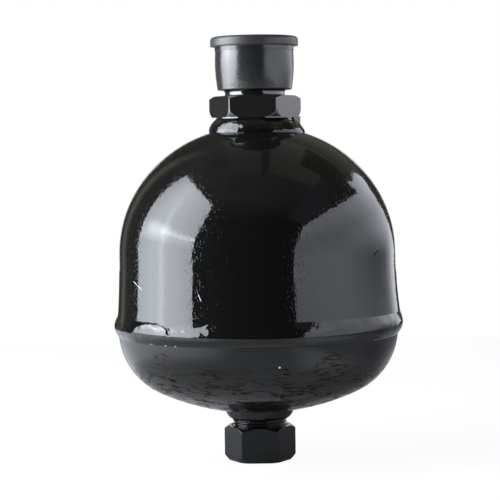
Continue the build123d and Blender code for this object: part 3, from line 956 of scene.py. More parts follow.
class ReliefTrees:
    """Geometry node trees for what repeats round the axis: thread turns and weld ripples, in metres."""

    def __init__(self) -> None:
        """Builds both trees once."""
        self.thread = self._thread()
        self.weld = self._weld()

    @staticmethod
    def _around(wiring: Wiring) -> dict[str, NodeSocket]:
        """Cylindrical place of each vertex: azimuth in radians, radius, height and outward direction.

        Args:
            wiring: The wiring of the node tree.

        Returns:
            The sockets by name.
        """
        position = wiring.node("GeometryNodeInputPosition").outputs[0]
        parts = wiring.split(position)
        flat = wiring.joined(parts[0], parts[1], 0.0)
        return {
            "position": position,
            "azimuth": wiring.azimuth(parts),
            "radius": wiring.measure("LENGTH", flat),
            "height": parts[2],
            "outward": wiring.vector("NORMALIZE", flat),
        }

    @staticmethod
    def _finish(wiring: Wiring, given: Any, out: Any, move: Any, place: dict[str, Any]) -> NodeTree:
        """Moves the vertices outwards by a distance and sets the material.

        Args:
            wiring: The wiring of the node tree.
            given: Sockets that come into the tree.
            out: Sockets that go out of it.
            move: How far each vertex moves.
            place: Cylindrical place of each vertex.

        Returns:
            The finished tree.
        """
        made = given["Geometry"]
        for kind, extra in (
            ("GeometryNodeSetPosition", {"Offset": wiring.lengthened(place["outward"], move)}),
            ("GeometryNodeRealizeInstances", {}),
            ("GeometryNodeSetMaterial", {"Material": given["Finish"]}),
        ):
            made = wiring.node(kind, {"Geometry": made, **extra}).outputs[0]
        wiring.feed(out["Geometry"], made)
        return wiring.tree

    def _thread(self) -> NodeTree:
        """Right-hand thread cut into a cylinder between two heights, with run-outs at its ends.

        Returns:
            The finished tree.
        """
        inputs = {
            "Geometry": GEOMETRY,
            "Crest Radius": 0.0165,
            "Foot": 0.0,
            "Top": 0.02,
            "Pitch": 0.0015,
            "Depth": 0.0009,
            "Finish": MATERIAL,
        }
        wiring, given, out = node_group("thread_turns", "GeometryNodeTree", inputs, {"Geometry": GEOMETRY})
        place = self._around(wiring)
        advance = wiring.calc("DIVIDE", place["height"], given["Pitch"])
        turns = wiring.calc("DIVIDE", place["azimuth"], FULL_TURN)
        phase = wiring.calc("FRACT", wiring.less(advance, turns))
        flank = wiring.calc("ABSOLUTE", wiring.scaled(phase, 2.0, -1.0))
        cut = wiring.rise(flank, 0.9, 0.12)
        off_crest = wiring.calc("ABSOLUTE", wiring.less(place["radius"], given["Crest Radius"]))
        on_crest = wiring.calc("LESS_THAN", off_crest, 0.02 * MM)
        run_out = wiring.times(given["Pitch"], 0.8)
        begins = wiring.rise(place["height"], given["Foot"], wiring.plus(given["Foot"], run_out))
        ends = wiring.rise(place["height"], given["Top"], wiring.less(given["Top"], run_out))
        reach = wiring.times(begins, ends, on_crest)
        depth = wiring.times(cut, given["Depth"], -1.0)
        return self._finish(wiring, given, out, wiring.times(depth, reach), place)

    def _weld(self) -> NodeTree:
        """Ripples, slow unevenness and the stop mark of a weld run that goes once round the axis.

        Returns:
            The finished tree.
        """
        inputs = {
            "Geometry": GEOMETRY,
            "Core Radius": 0.07,
            "Skin": 0.001,
            "Middle": 0.07,
            "Half Height": 0.006,
            "Ripples": 200.0,
            "Ripple Depth": 0.0001,
            "Unevenness": 0.001,
            "Patches": 120.0,
            "Stop Azimuth": -40.0,
            "Stop Width": 9.0,
            "Stop Depth": 0.0005,
            "Seed": 1.0,
            "Finish": MATERIAL,
        }
        wiring, given, out = node_group("weld_run", "GeometryNodeTree", inputs, {"Geometry": GEOMETRY})
        place = self._around(wiring)
        rise = wiring.less(place["height"], given["Middle"])
        level = wiring.calc("DIVIDE", rise, given["Half Height"])
        bow = wiring.times(level, level, 1.8)
        wander = wiring.scaled(wiring.noise(place["position"], 260.0, 2.0), 14.0, bow)
        wave = wiring.calc("SINE", wiring.scaled(place["azimuth"], given["Ripples"], wander))
        ripple = wiring.times(wave, given["Ripple Depth"])
        shifted = wiring.vector("ADD", place["position"], wiring.joined(given["Seed"], 0.0, 0.0))
        patch = wiring.less(wiring.noise(shifted, given["Patches"], 2.0), 0.5)
        uneven = wiring.scaled(patch, given["Unevenness"], ripple)
        past = wiring.less(wiring.calc("DEGREES", place["azimuth"]), given["Stop Azimuth"])
        share = wiring.calc("DIVIDE", past, given["Stop Width"])
        lobe = wiring.plus(share, 1.0)
        ragged = wiring.scaled(wiring.noise(place["position"], 420.0, 2.0), 0.3, -0.32)
        lobe_top = wiring.plus(wiring.times(wiring.arch(lobe), 0.95), ragged)
        above = wiring.rise(wiring.less(level, lobe_top), -0.04, 0.2)
        run_in = wiring.times(wiring.rise(lobe, -3.6, -1.0), wiring.rise(level, -0.15, 0.1))
        sunk = wiring.times(above, wiring.times(run_in, wiring.rise(lobe, 1.06, 1.0)))
        notch = wiring.calc("ABSOLUTE", wiring.scaled(level, 0.04, share))
        notch_span = wiring.times(wiring.rise(level, -0.05, 0.15), wiring.rise(level, 0.8, 0.6))
        groove = wiring.times(wiring.rise(notch, 0.09, 0.02), notch_span)
        restart = wiring.times(wiring.rise(share, 0.0, 0.1), wiring.rise(share, 1.7, 0.3))
        fresh = wiring.times(restart, wiring.rise(level, -0.1, 0.2))
        ended = wiring.most(sunk, wiring.times(groove, 0.6))
        stop = wiring.times(wiring.scaled(fresh, 0.4, ended), given["Stop Depth"])
        relief = wiring.less(uneven, stop)
        edge = wiring.plus(given["Core Radius"], given["Skin"])
        weight = wiring.rise(place["radius"], given["Core Radius"], edge)
        return self._finish(wiring, given, out, wiring.times(relief, weight), place)


def apply_relief(piece: Object, tree: NodeTree, material: Material, **values: float) -> None:
    """Runs a geometry node tree on a piece and keeps the result as a plain mesh.

    Args:
        piece: The object to change.
        tree: The tree to run.
        material: The material that the tree sets.
        **values: Inputs of the tree by name, lengths in millimetres; an underscore stands for a blank.
    """
    modifier = piece.modifiers.new(tree.name, "NODES")
    modifier.node_group = tree
    sockets = {item.name: item.identifier for item in tree.interface.items_tree if item.in_out == "INPUT"}
    modifier[sockets["Finish"]] = material
    for name, value in values.items():
        modifier[sockets[name.replace("_", " ")]] = value if name in PLAIN_INPUTS else value * MM
    bpy.context.view_layer.update()
    evaluated = piece.evaluated_get(bpy.context.evaluated_depsgraph_get())
    mesh = bpy.data.meshes.new_from_object(evaluated)
    piece.modifiers.remove(modifier)
    plain = piece.data
    piece.data = mesh
    bpy.data.meshes.remove(plain)


@dataclass
class Finishes:
    """Every material of the object, made once."""

    effects: SurfaceEffects = field(default_factory=SurfaceEffects)
    made: dict[str, Material] = field(default_factory=dict)

    def get(self, finish: Finish) -> Material:
        """Material of a finish, built at its first use.

        Args:
            finish: The finish.

        Returns:
            The material.
        """
        if finish.name not in self.made:
            self.made[finish.name] = finish.material(self.effects)
        return self.made[finish.name]


def dress(piece: Object, material: Material) -> None:
    """Gives a piece one material and drops any that it had."""
    piece.data.materials.clear()
    piece.data.materials.append(material)


def stand_for(piece: Object, node: str, body: Body = Body.VESSEL) -> None:
    """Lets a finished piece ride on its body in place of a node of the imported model.

    Args:
        piece: The finished piece.
        node: The node that it replaces.
        body: Body that carries it.
    """
    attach(piece, body.value)
    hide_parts(node)
    LOG.info("%s stands for %s with %d faces", piece.name, node, len(piece.data.polygons))


def heights(node: str) -> Station:
    """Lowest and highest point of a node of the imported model, in millimetres."""
    low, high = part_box(node)
    return low.z / MM, high.z / MM


@dataclass
class Vessel:
    """The two deep-drawn shells and the girth weld between them, all in millimetres."""

    dome_radius: float = 70.9
    dome_flattening: float = 5.0
    dome_fullness: float = 2.05
    skirt: float = 35.4
    flare_radius: float = 260.0
    rim_step: float = 1.57
    crown_radius: float = 122.0
    knuckle_radius: float = 34.7
    straight: float = 2.8
    wall: float = 5.0
    register_cut: float = 1.05
    register_below: float = 6.2
    register_above: float = 9.8
    port_hole: float = 20.0
    stub_hole: float = 14.0
    weld_proud: float = 0.6
    weld_groove: float = 4.6
    weld_half_height: float = 5.8
    weld_ridge: float = 0.8
    weld_ridge_shift: float = -0.12
    weld_heavy_azimuth: float = 35.0
    weld_spread: float = 0.4
    weld_swell: float = 0.85
    weld_dip: float = 1.2
    skirt_pinch: float = 0.25
    skirt_lean: float = 0.6
    segments: int = 360
    weld_segments: int = 900
    paint: GlossPaint = GlossPaint(
        "gloss_black_paint",
        grime_all_over=0.85,
        grime_top=60.0,
        grime_spots=(
            GrimeSpot((-47.2, -51.7, 57.2), 6.0),
            GrimeSpot((-42.6, -48.6, 46.5), 9.0),
            GrimeSpot((-37.0, -45.5, 40.5), 8.0),
            GrimeSpot((-27.0, -50.0, 39.5), 12.0),
            GrimeSpot((-23.7, -61.9, 49.2), 7.0),
            GrimeSpot((-4.0, -60.0, 42.5), 11.0),
            GrimeSpot((15.8, -57.0, 41.2), 11.0),
            GrimeSpot((34.3, -58.1, 51.3), 12.0),
            GrimeSpot((39.3, -41.7, 39.8), 9.0),
        ),
        marks=(
            Mark((-65.6, -27.3, 98.3), (-61.6, -35.5, 95.4), 0.2, (0.02, 0.02, 0.02)),
            Mark((-61.6, -35.5, 95.4), (-57.0, -42.9, 91.4), 0.27, (0.75, 0.75, 0.75)),
            Mark((-28.8, -65.2, 90.4), (-27.6, -65.9, 87.6), 0.3, (0.75, 0.75, 0.75)),
            Mark((-29.6, -64.8, 92.8), (-28.8, -65.2, 90.6), 0.2, (0.2, 0.2, 0.2)),
            Mark((-24.1, -47.6, 149.6), (-23.2, -49.0, 148.7), 0.24, (0.4, 0.4, 0.4)),
            Mark((-27.7, -48.8, 146.5), (-27.6, -48.9, 146.4), 0.34, (0.3, 0.3, 0.3)),
            Mark((-16.9, -54.0, 145.9), (-16.8, -54.0, 145.8), 0.4, (0.45, 0.45, 0.45)),
            # Dark line of painted shade along the weld's lower toe.
            Mark((-9.9, -70.8, 63.5), (0.5, -71.5, 63.4), 0.22, (0.001, 0.001, 0.001)),
            Mark((-43.5, -48.4, 47.6), (-41.5, -50.0, 47.2), 1.5, (0.004, 0.003, 0.002)),
            Mark((-42.8, -45.6, 44.2), (-39.8, -47.5, 43.5), 1.5, (0.008, 0.006, 0.003)),
            Mark((44.6, -48.1, 131.2), (44.7, -48.1, 131.0), 0.55, (0.8, 0.8, 0.8)),
            # Painted highlight (white dot) and painted shade (dark blobs) of a small paint lump.
            Mark((9.5, -68.7, 55.3), (9.6, -68.7, 55.2), 0.75, (1.0, 1.0, 1.0)),
            Mark((12.0, -67.9, 54.4), (13.4, -67.5, 54.0), 0.6, (0.001, 0.001, 0.001)),
            Mark((12.0, -66.6, 51.7), (14.2, -66.1, 51.6), 0.7, (0.001, 0.001, 0.001)),
            Mark((57.5, -41.3, 107.2), (57.9, -40.8, 107.8), 0.9, (0.002, 0.002, 0.002)),
            Mark((58.6, -39.8, 108.3), (59.8, -38.0, 108.8), 0.5, (0.002, 0.002, 0.002)),
        ),
        # Painted shade over the weld run's end.
        undercut_shade=PaintedUndercutShade(),
    )
    weld_paint: GlossPaint = GlossPaint(
        "gloss_black_paint_on_weld",
        peel_scale=420.0,
        peel_depth=0.03,
        wave=0.1,
        run_depth=0.0,
        nib_height=0.03,
        marks=(
            # Dark lines of painted shade along the bead's lower toe.
            Mark((25.5, -67.0, 65.7), (34.3, -62.9, 65.1), 0.55, (0.004, 0.003, 0.002)),
            Mark((34.3, -62.9, 65.1), (44.3, -56.3, 65.1), 0.45, (0.004, 0.003, 0.002)),
            # Lines of painted highlight along the bead's toe on the right: a painted reflection of the
            # backdrop.
            Mark((56.7, -44.1, 65.1), (62.8, -35.0, 65.5), 0.3, (0.3, 0.3, 0.3)),
            Mark((62.8, -35.0, 65.5), (70.3, -14.5, 65.7), 0.4, (0.6, 0.6, 0.6)),
            # Painted glints on the bead.
            Mark((-53.6, -48.1, 65.4), (-52.0, -49.8, 65.3), 0.35, (0.4, 0.4, 0.4)),
            Mark((-45.8, -55.4, 65.1), (-45.2, -55.9, 65.1), 0.4, (0.7, 0.7, 0.7)),
            Mark((-40.7, -59.1, 65.0), (-40.4, -59.3, 65.0), 0.5, (0.8, 0.8, 0.8)),
        ),
        # Painted shade over the weld run's end.
        undercut_shade=PaintedUndercutShade(),
    )

    def __post_init__(self) -> None:
        """Works out the radii and heights that the sizes lead to."""
        low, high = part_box("seam_weld")
        self.seam = (low.z + high.z) / 2 / MM
        self.equator = self.seam + self.skirt
        self.rise = self.dome_radius - self.dome_flattening
        self.pole = self.equator + self.rise
        self.rim_radius = self.flare(self.seam)
        self.gas_radius = self.rim_radius - self.rim_step
        self.register = self.gas_radius - self.wall + self.register_cut
        self.knuckle_centre = self.gas_radius - self.knuckle_radius
        self.knuckle_height = self.seam - self.straight
        reach = self.crown_radius - self.knuckle_radius
        drop = math.sqrt(reach ** 2 - self.knuckle_centre ** 2)
        self.crown_centre = self.knuckle_height + drop
        self.crown_angle = math.degrees(math.asin(self.knuckle_centre / reach))

    def flare(self, height: float, inset: float = 0.0) -> float:
        """Radius of the fluid shell's skirt at a height, moved in by inset."""
        drop = self.equator - height
        return self.dome_radius + self.flare_radius - math.sqrt((self.flare_radius + inset) ** 2 - drop ** 2)

    def dome(self, radius: float) -> float:
        """Height of the dome at a radius."""
        share = (radius / self.dome_radius) ** self.dome_fullness
        return self.equator + self.rise * (1 - share) ** (1 / self.dome_fullness)

    def dome_station(self, angle: float) -> Station:
        """Station of the dome, a little fuller at its shoulder than an ellipse, at an angle in degrees."""
        turn, power = math.radians(angle), 2 / self.dome_fullness
        return self.dome_radius * math.cos(turn) ** power, self.equator + self.rise * math.sin(turn) ** power

    def settle(self, angle: Values, radius: Values, height: Values) -> Moved:
        """Draws the skirt in above the weld, more on the camera's left than on its right.

        Args:
            angle: Angles of the points in radians.
            radius: Their radii.
            height: Their heights.

        Returns:
            The moved radii and heights.
        """
        above = np.clip((height - self.seam) / self.weld_half_height, 0, 1)
        below = np.clip((self.equator - height) / self.skirt, 0, 1) ** 2
        outside = radius > self.gas_radius - 1.0
        moved = (self.skirt_lean * np.cos(angle) - self.skirt_pinch) * above * below
        return radius + np.where(outside, moved, 0.0), height

    def crown(self, radius: float) -> float:
        """Height of the gas shell's crown at a radius."""
        return self.crown_centre - math.sqrt(self.crown_radius ** 2 - radius ** 2)

    def dome_radii(self, inset: float) -> Station:
        """Half width and half height of the dome's ellipse, moved in by inset."""
        return self.dome_radius - inset, self.rise - inset

    def fluid_shell(self) -> Object:
        """Deep shell with its flared skirt, elliptical dome and port hole.

        Returns:
            The new piece.
        """
        section = Section(self.rim_radius, self.seam)
        section.curve(lambda height: (self.flare(height), height), self.seam, self.equator, 36)
        outer_end = math.degrees(math.acos((self.port_hole / self.dome_radius) ** (self.dome_fullness / 2)))
        section.curve(self.dome_station, 0.0, outer_end, 110)
        inner_end = math.degrees(math.acos(self.port_hole / (self.dome_radius - self.wall)))
        section.arc((0, self.equator), self.dome_radii(self.wall), inner_end, 0, 36)
        register_top = self.seam + self.register_above
        section.curve(lambda height: (self.flare(height, self.wall), height), self.equator, register_top, 10)
        section.line(self.register, register_top).line(self.register, self.seam)
        return lathe("painted_fluid_shell", section, even_angles(self.segments), (self.settle,))

    def gas_shell(self) -> Object:
        """Shallow shell with its crown, knuckle and stub hole.

        Returns:
            The new piece.
        """
        knuckle = (self.knuckle_centre, self.knuckle_height)
        centre = (0, self.crown_centre)
        turn = self.crown_angle - 90
        inner, inner_crown = self.knuckle_radius - self.wall, self.crown_radius - self.wall
        inner_end = math.degrees(math.asin(self.stub_hole / inner_crown)) - 90
        register_foot = self.seam - self.register_below
        section = Section(self.register, self.seam).line(self.register, register_foot)
        section.line(self.knuckle_centre + inner, register_foot)
        section.arc(knuckle, (inner, inner), -6, turn, 16)
        section.arc(centre, (inner_crown, inner_crown), turn, inner_end, 16)
        section.line(self.stub_hole, self.crown(self.stub_hole))
        outer_end = math.degrees(math.asin(self.stub_hole / self.crown_radius)) - 90
        section.arc(centre, (self.crown_radius, self.crown_radius), outer_end, turn, 40)
        section.arc(knuckle, (self.knuckle_radius, self.knuckle_radius), turn, 0, 64)
        section.line(self.gas_radius, self.seam)
        return lathe("painted_gas_shell", section, even_angles(self.segments))

    def girth_weld(self, trees: ReliefTrees, material: Material) -> Object:
        """Bead between the shells, convex and slightly uneven, with the place where the run ends.

        Args:
            trees: The geometry node trees.
            material: The material of the piece.

        Returns:
            The new piece.
        """
        half = self.weld_half_height
        low = (self.gas_radius - 0.15, self.seam - half)
        high = (self.flare(self.seam + half), self.seam + half)
        middle = (low[0] + high[0]) / 2
        bulge = self.rim_radius + self.weld_proud - middle
        ridge, shift, groove = self.weld_ridge, self.weld_ridge_shift, self.weld_groove

        def bead(share: float) -> Station:
            """Rounded bead from its lower toe at -1 over its ridge to its upper toe at 1.

            Args:
                share: Place between the toes, from -1 to 1.

            Returns:
                The station.
            """
            chord = middle + share * (high[0] - low[0]) / 2
            past = (share - shift) / (1 - shift if share > shift else 1 + shift)
            fall = (math.hypot(past, ridge) - ridge) / (math.hypot(1.0, ridge) - ridge)
            return chord + bulge * (1 - fall), self.seam + share * half

        section = Section(self.register, self.seam - 1.0).line(self.gas_radius - 0.6, self.seam - groove)
        section.line(*low).curve(bead, -1, 1, 44)
        section.line(self.flare(self.seam + groove) - 0.6, self.seam + groove)
        section.line(self.register, self.seam + 1.0)

        def heavier(angle: Values, radius: Values, height: Values) -> Moved:
            """Lays the bead on taller and prouder on one side.

            Args:
                angle: Angles of the points in radians.
                radius: Their radii.
                height: Their heights.

            Returns:
                The moved radii and heights.
            """
            aside = angle - math.radians(self.weld_heavy_azimuth - 90)
            share = np.clip((height - self.seam) / half, -1, 1)
            window = np.clip(np.cos(aside), 0, 1) ** 2 * (radius > low[0] - 0.1)
            swollen = radius + self.weld_swell * window * (1 - np.abs(share))
            dip = self.weld_dip * np.clip(np.cos(angle + math.radians(85)), 0, 1) ** 4 * (1 - share ** 2)
            return swollen, height + self.weld_spread * window * np.clip(share, 0, 1) - dip

        piece = lathe("girth_weld", section, even_angles(self.weld_segments), (self.settle, heavier))
        apply_relief(
            piece, trees.weld, material, Core_Radius=self.gas_radius - 0.3, Skin=1.0, Middle=self.seam,
            Half_Height=half, Ripples=110.0, Ripple_Depth=0.014, Unevenness=0.8, Patches=85.0,
            Stop_Azimuth=-36.6, Stop_Width=10.8, Stop_Depth=1.5, Seed=1.7,
        )
        return piece

    def build(self, finishes: Finishes, trees: ReliefTrees) -> None:
        """Builds and dresses the sub-assembly.

        Args:
            finishes: The object's materials.
            trees: The geometry node trees.
        """
        paint = finishes.get(self.paint)
        for piece, node in ((self.fluid_shell(), "fluid_shell"), (self.gas_shell(), "gas_shell")):
            dress(piece, paint)
            stand_for(piece, node)
        weld_paint = finishes.get(self.weld_paint)
        stand_for(self.girth_weld(trees, weld_paint), "seam_weld")


@dataclass
class FluidPort:
    """The turned port with its hexagon and threads, and the fillet weld round it, in millimetres."""

    spigot_radius: float = 20.0
    flats: float = 41.0
    turn: float = -3.4
    hex_foot: float = 176.15
    hex_height: float = 10.8
    foot_radius: float = 22.0
    foot_height: float = 4.8
    top_radius: float = 21.1
    top_angle: float = 30.0
    neck_radius: float = 15.35
    neck_length: float = 3.3
    neck_cove: float = 0.9
    thread_radius: float = 16.5
    thread_pitch: float = 1.5
    thread_depth: float = 0.92
    thread_chamfer: float = 1.2
    bore_radius: float = 9.316
    bore_depth: float = 15.0
    bore_chamfer: float = 1.3
    bore_pitch: float = 1.814
    bore_thread_depth: float = 1.16
    passage_radius: float = 6.0
    seat_radius: float = 15.6
    seat_depth: float = 3.1
    drill_point: float = 59.0
    weld_width: float = 4.3
    weld_height: float = 6.0
    weld_bevel: float = 3.0
    weld_bulge: float = 1.1
    weld_aside: float = 0.45
    weld_lean: float = 1.15
    weld_follow: float = 0.36
    weld_lean_azimuth: float = 62.0
    run_azimuth: float = 84.0
    run_half_width: float = 3.6
    run_length: float = 7.0
    run_proud: float = 3.2
    side_segments: int = 54
    edge_roundness: float = 150.0
    weld_segments: int = 420
    weld_overlap: float = 0.2
    paint: GlossPaint = GlossPaint(
        "gloss_black_paint_on_port",
        colour=(0.012, 0.012, 0.0112),
        wave=0.07,
        run_depth=0.02,
        nib_share=0.5,
        gloss=1.9,
    )
    weld_paint: GlossPaint = GlossPaint(
        "gloss_black_paint_on_port_weld",
        peel_scale=480.0,
        peel_depth=0.02,
        wave=0.12,
        run_depth=0.0,
        nib_height=0.012,
    )

    def paint_run(self, angle: Values, radius: Values, height: Values) -> Moved:
        """Run of paint that bridges the hexagon's foot and the weld at the right-hand corner.

        Args:
            angle: Angles of the points in radians.
            radius: Their radii.
            height: Their heights.

        Returns:
            The moved radii and heights.
        """
        azimuth = np.degrees(angle) - 270.0
        aside = (azimuth - self.run_azimuth + 180) % 360 - 180
        near = np.exp(-((aside / self.run_half_width) ** 2))
        between = (height < self.hex_foot + 0.01) & (height > self.hex_foot - self.run_length)
        outside = radius > self.spigot_radius - 0.01
        return radius + np.where(outside & between, self.run_proud * near, 0.0), height

    def body(self) -> Object:
        """The turned and milled piece, with its outer and inner threads still plain.

        Returns:
            The new piece.
        """
        inner_end, top = heights("fluid_port")
        hex_top = self.hex_foot + self.hex_height
        thread_foot = hex_top + self.neck_length
        corner = self.flats / 2 / math.cos(HALF_SIDE)
        foot_step = corner - self.foot_radius
        foot_arc = (self.foot_height ** 2 + foot_step ** 2) / (2 * foot_step)
        foot_turn = math.degrees(math.asin(self.foot_height / foot_arc))
        chamfer = (corner - self.top_radius) * math.tan(math.radians(self.top_angle))
        bore_end = top - self.bore_depth
        cone = (self.bore_radius - self.passage_radius) / math.tan(math.radians(self.drill_point))
        seat, cove = inner_end + self.seat_depth, self.neck_cove
        section = Section(self.passage_radius, seat).line(self.seat_radius, seat)
        section.line(self.seat_radius, inner_end).line(self.spigot_radius, inner_end)
        section.line(self.spigot_radius, self.hex_foot, 0.8)
        section.line(self.foot_radius, self.hex_foot, 0.5)
        arc_centre = (corner - foot_arc, self.hex_foot + self.foot_height)
        section.arc(arc_centre, (foot_arc, foot_arc), -foot_turn, 0, 16)
        section.line(corner, hex_top - chamfer, 0.4).line(self.top_radius, hex_top, 0.2)
        section.line(self.neck_radius + cove, hex_top, 0.6)
        section.arc((self.neck_radius + cove, hex_top + cove), (cove, cove), 270, 180, 6)
        step = self.thread_radius - self.neck_radius
        section.line(self.neck_radius, thread_foot - step).line(self.thread_radius, thread_foot)
        section.line(self.thread_radius, top - self.thread_chamfer, 0.15)
        section.line(self.thread_radius - self.thread_chamfer, top)
        section.line(self.bore_radius + self.bore_chamfer, top)
        section.line(self.bore_radius, top - self.bore_chamfer).line(self.bore_radius, bore_end, 0.18)
        section.line(self.passage_radius, bore_end - cone)
        clamp = hexagon_clamp(self.flats, self.turn, self.edge_roundness, self.hex_foot, hex_top)
        angles = corner_angles(self.turn, self.side_segments)
        return lathe("port_body", section, angles, (clamp, self.paint_run))

    def port(self, trees: ReliefTrees, material: Material) -> Object:
        """The port with both of its threads cut.

        Args:
            trees: The geometry node trees.
            material: The material of the piece.

        Returns:
            The new piece.
        """
        piece = self.body()
        top = heights("fluid_port")[1]
        apply_relief(
            piece, trees.thread, material, Crest_Radius=self.thread_radius,
            Foot=self.hex_foot + self.hex_height + self.neck_length, Top=top - self.thread_chamfer,
            Pitch=self.thread_pitch, Depth=self.thread_depth,
        )
        apply_relief(
            piece, trees.thread, material, Crest_Radius=self.bore_radius, Foot=top - self.bore_depth,
            Top=top - self.bore_chamfer, Pitch=self.bore_pitch, Depth=-self.bore_thread_depth,
        )
        return piece

    def fillet_weld(self, vessel: Vessel, trees: ReliefTrees, material: Material) -> Object:
        """Fillet weld between the port and the dome.

        Args:
            vessel: The vessel that carries the piece.
            trees: The geometry node trees.
            material: The material of the piece.

        Returns:
            The new piece.
        """
        toe_radius = self.spigot_radius + self.weld_width
        mouth = vessel.dome(self.spigot_radius)
        toe = (toe_radius, vessel.dome(toe_radius) - 0.1)
        top = (self.spigot_radius, mouth + self.weld_height)
        root = self.spigot_radius - self.weld_overlap
        section = Section(root, mouth - self.weld_bevel)
        section.line(self.spigot_radius + self.weld_bevel, mouth - 1.2).line(*toe)
        section.curve(fillet_face(toe, top, self.weld_bulge), 0, 1, 26)
        section.line(root, top[1])

        def aside(angle: Values, radius: Values, height: Values) -> Moved:
            """Shifts the run to the camera's right, as it was laid, and spreads its toe there.

            Args:
                angle: Angles of the points in radians.
                radius: Their radii.
                height: Their heights.

            Returns:
                The moved radii and heights.
            """
            out = np.clip((radius - self.spigot_radius) / 2, 0, 1)
            spread = np.clip((radius - self.spigot_radius) / self.weld_width, 0, 1)
            near = np.clip(np.cos(angle - math.radians(self.weld_lean_azimuth - 90)), 0, 1) ** 4
            flatter = self.weld_bulge * near * 4 * spread * (1 - spread)
            toe_out = self.weld_aside * np.cos(angle) * out + self.weld_lean * near * spread
            down = self.weld_follow * toe_out * spread
            return radius + toe_out - 0.8 * flatter, height - 0.5 * flatter - down

        piece = lathe("port_fillet_weld", section, even_angles(self.weld_segments), (aside,))
        apply_relief(
            piece, trees.weld, material, Core_Radius=self.spigot_radius, Skin=1.6, Middle=mouth + 1,
            Half_Height=5.0, Ripples=46.0, Ripple_Depth=0.012, Unevenness=1.3, Patches=105.0,
            Stop_Azimuth=62.0, Stop_Width=16.0, Stop_Depth=0.35, Seed=4.2,
        )
        return piece

    def build(self, vessel: Vessel, finishes: Finishes, trees: ReliefTrees) -> None:
        """Builds and dresses the sub-assembly.

        Args:
            vessel: The vessel that the port is welded into.
            finishes: The object's materials.
            trees: The geometry node trees.
        """
        stand_for(self.port(trees, finishes.get(self.paint)), "fluid_port")
        weld = self.fillet_weld(vessel, trees, finishes.get(self.weld_paint))
        stand_for(weld, "fluid_port_weld")


@dataclass
class ProtectiveCap:
    """The moulded cap that is pushed over the port's thread, in millimetres."""

    mouth_radius: float = 19.1
    mouth_round: float = 0.7
    barrel_radius: float = 20.2
    barrel_rise: float = 12.9
    shoulder_radius: float = 20.0
    shoulder_rise: float = 19.9
    collar_radius: float = 20.27
    wall: float = 1.9
    flange_height: float = 4.8
    flange_round: float = 1.9
    edge_round: float = 0.3
    dish_radius: float = 17.6
    dish_depth: float = 2.1
    dish_round: float = 1.0
    ceiling: float = 2.7
    segments: int = 240
    plastic: SatinPlastic = SatinPlastic(
        "moulded_grey_plastic",
        colour=(0.0165, 0.0165, 0.0162),
        roughness=0.19,
        skin_scale=950.0,
        skin_depth=0.07,
        wave=0.1,
        ior=1.62,
        # Above this height the cap is dulled and painted paler as painted light.
        dull_and_painted_light_from=212.2,
    )

    @staticmethod
    def bow(start: Station, middle: Station, end: Station) -> Callable[[float], Station]:
        """Smooth barrel line through three stations, by a parameter from 0 to 1.

        Args:
            start: First station.
            middle: Middle station.
            end: Last station.

        Returns:
            The line's stations by the parameter.
        """
        span = (middle[1] - start[1]) / (end[1] - start[1])

        def station(share: float) -> Station:
            """Station at a share of the height.

            Args:
                share: Share of the way.

            Returns:
                The station.
            """
            low = (share - span) * (share - 1) / span
            mid = share * (share - 1) / (span * (span - 1))
            high = share * (share - span) / (1 - span)
            radius = start[0] * low + middle[0] * mid + end[0] * high
            return radius, start[1] + share * (end[1] - start[1])

        return station

    def shell(self) -> Object:
        """Cap with its bowed barrel, collar, rounded flange, dish and hollow.

        Returns:
            The new piece.
        """
        mouth, top = heights("protective_cap")
        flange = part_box("protective_cap")[1].x / MM
        ceiling_face = top - self.dish_depth - self.ceiling
        belly = mouth + self.barrel_rise
        shoulder = mouth + self.shoulder_rise
        foot = top - self.flange_height
        edge, wall, lip = self.edge_round, self.wall, self.mouth_round
        inner_shoulder = (self.shoulder_radius - wall, shoulder)
        section = Section(0, ceiling_face).line(inner_shoulder[0], ceiling_face, 4).line(*inner_shoulder)
        inner_belly = (self.barrel_radius - wall, belly)
        inside = self.bow(inner_shoulder, inner_belly, (self.mouth_radius - wall, mouth))
        section.curve(inside, 0, 1, 20).line(self.mouth_radius - lip, mouth)
        section.arc((self.mouth_radius - lip, mouth + lip), (lip, lip), -90, 0, 6)
        side = (self.mouth_radius, mouth + lip)
        outside = self.bow(side, (self.barrel_radius, belly), (self.shoulder_radius, shoulder))
        section.curve(outside, 0, 1, 34)
        section.line(self.collar_radius - 0.1, shoulder).line(self.collar_radius, shoulder + 0.1)
        section.line(self.collar_radius, foot - edge)
        section.arc((self.collar_radius + edge, foot - edge), (edge, edge), 180, 90, 4)
        section.line(flange - edge, foot, 1).arc((flange - edge, foot + edge), (edge, edge), -90, 0, 4)
        crest = self.flange_round
        section.line(flange, top - crest).arc((flange - crest, top - crest), (crest, crest), 0, 90, 12)
        section.line(self.dish_radius + edge, top)
        section.arc((self.dish_radius + edge, top - edge), (edge, edge), 90, 180, 4)
        floor = top - self.dish_depth
        dish = self.dish_radius - self.dish_round
        section.line(self.dish_radius, floor + self.dish_round)
        section.arc((dish, floor + self.dish_round), (self.dish_round, self.dish_round), 0, -90, 6)
        section.line(0, floor, 3)
        return lathe("pull_off_cap", section, even_angles(self.segments), loop=False)

    def build(self, finishes: Finishes) -> None:
        """Builds and dresses the cap.

        Args:
            finishes: The object's materials.
        """
        piece = self.shell()
        dress(piece, finishes.get(self.plastic))
        stand_for(piece, "protective_cap", Body.CAP)


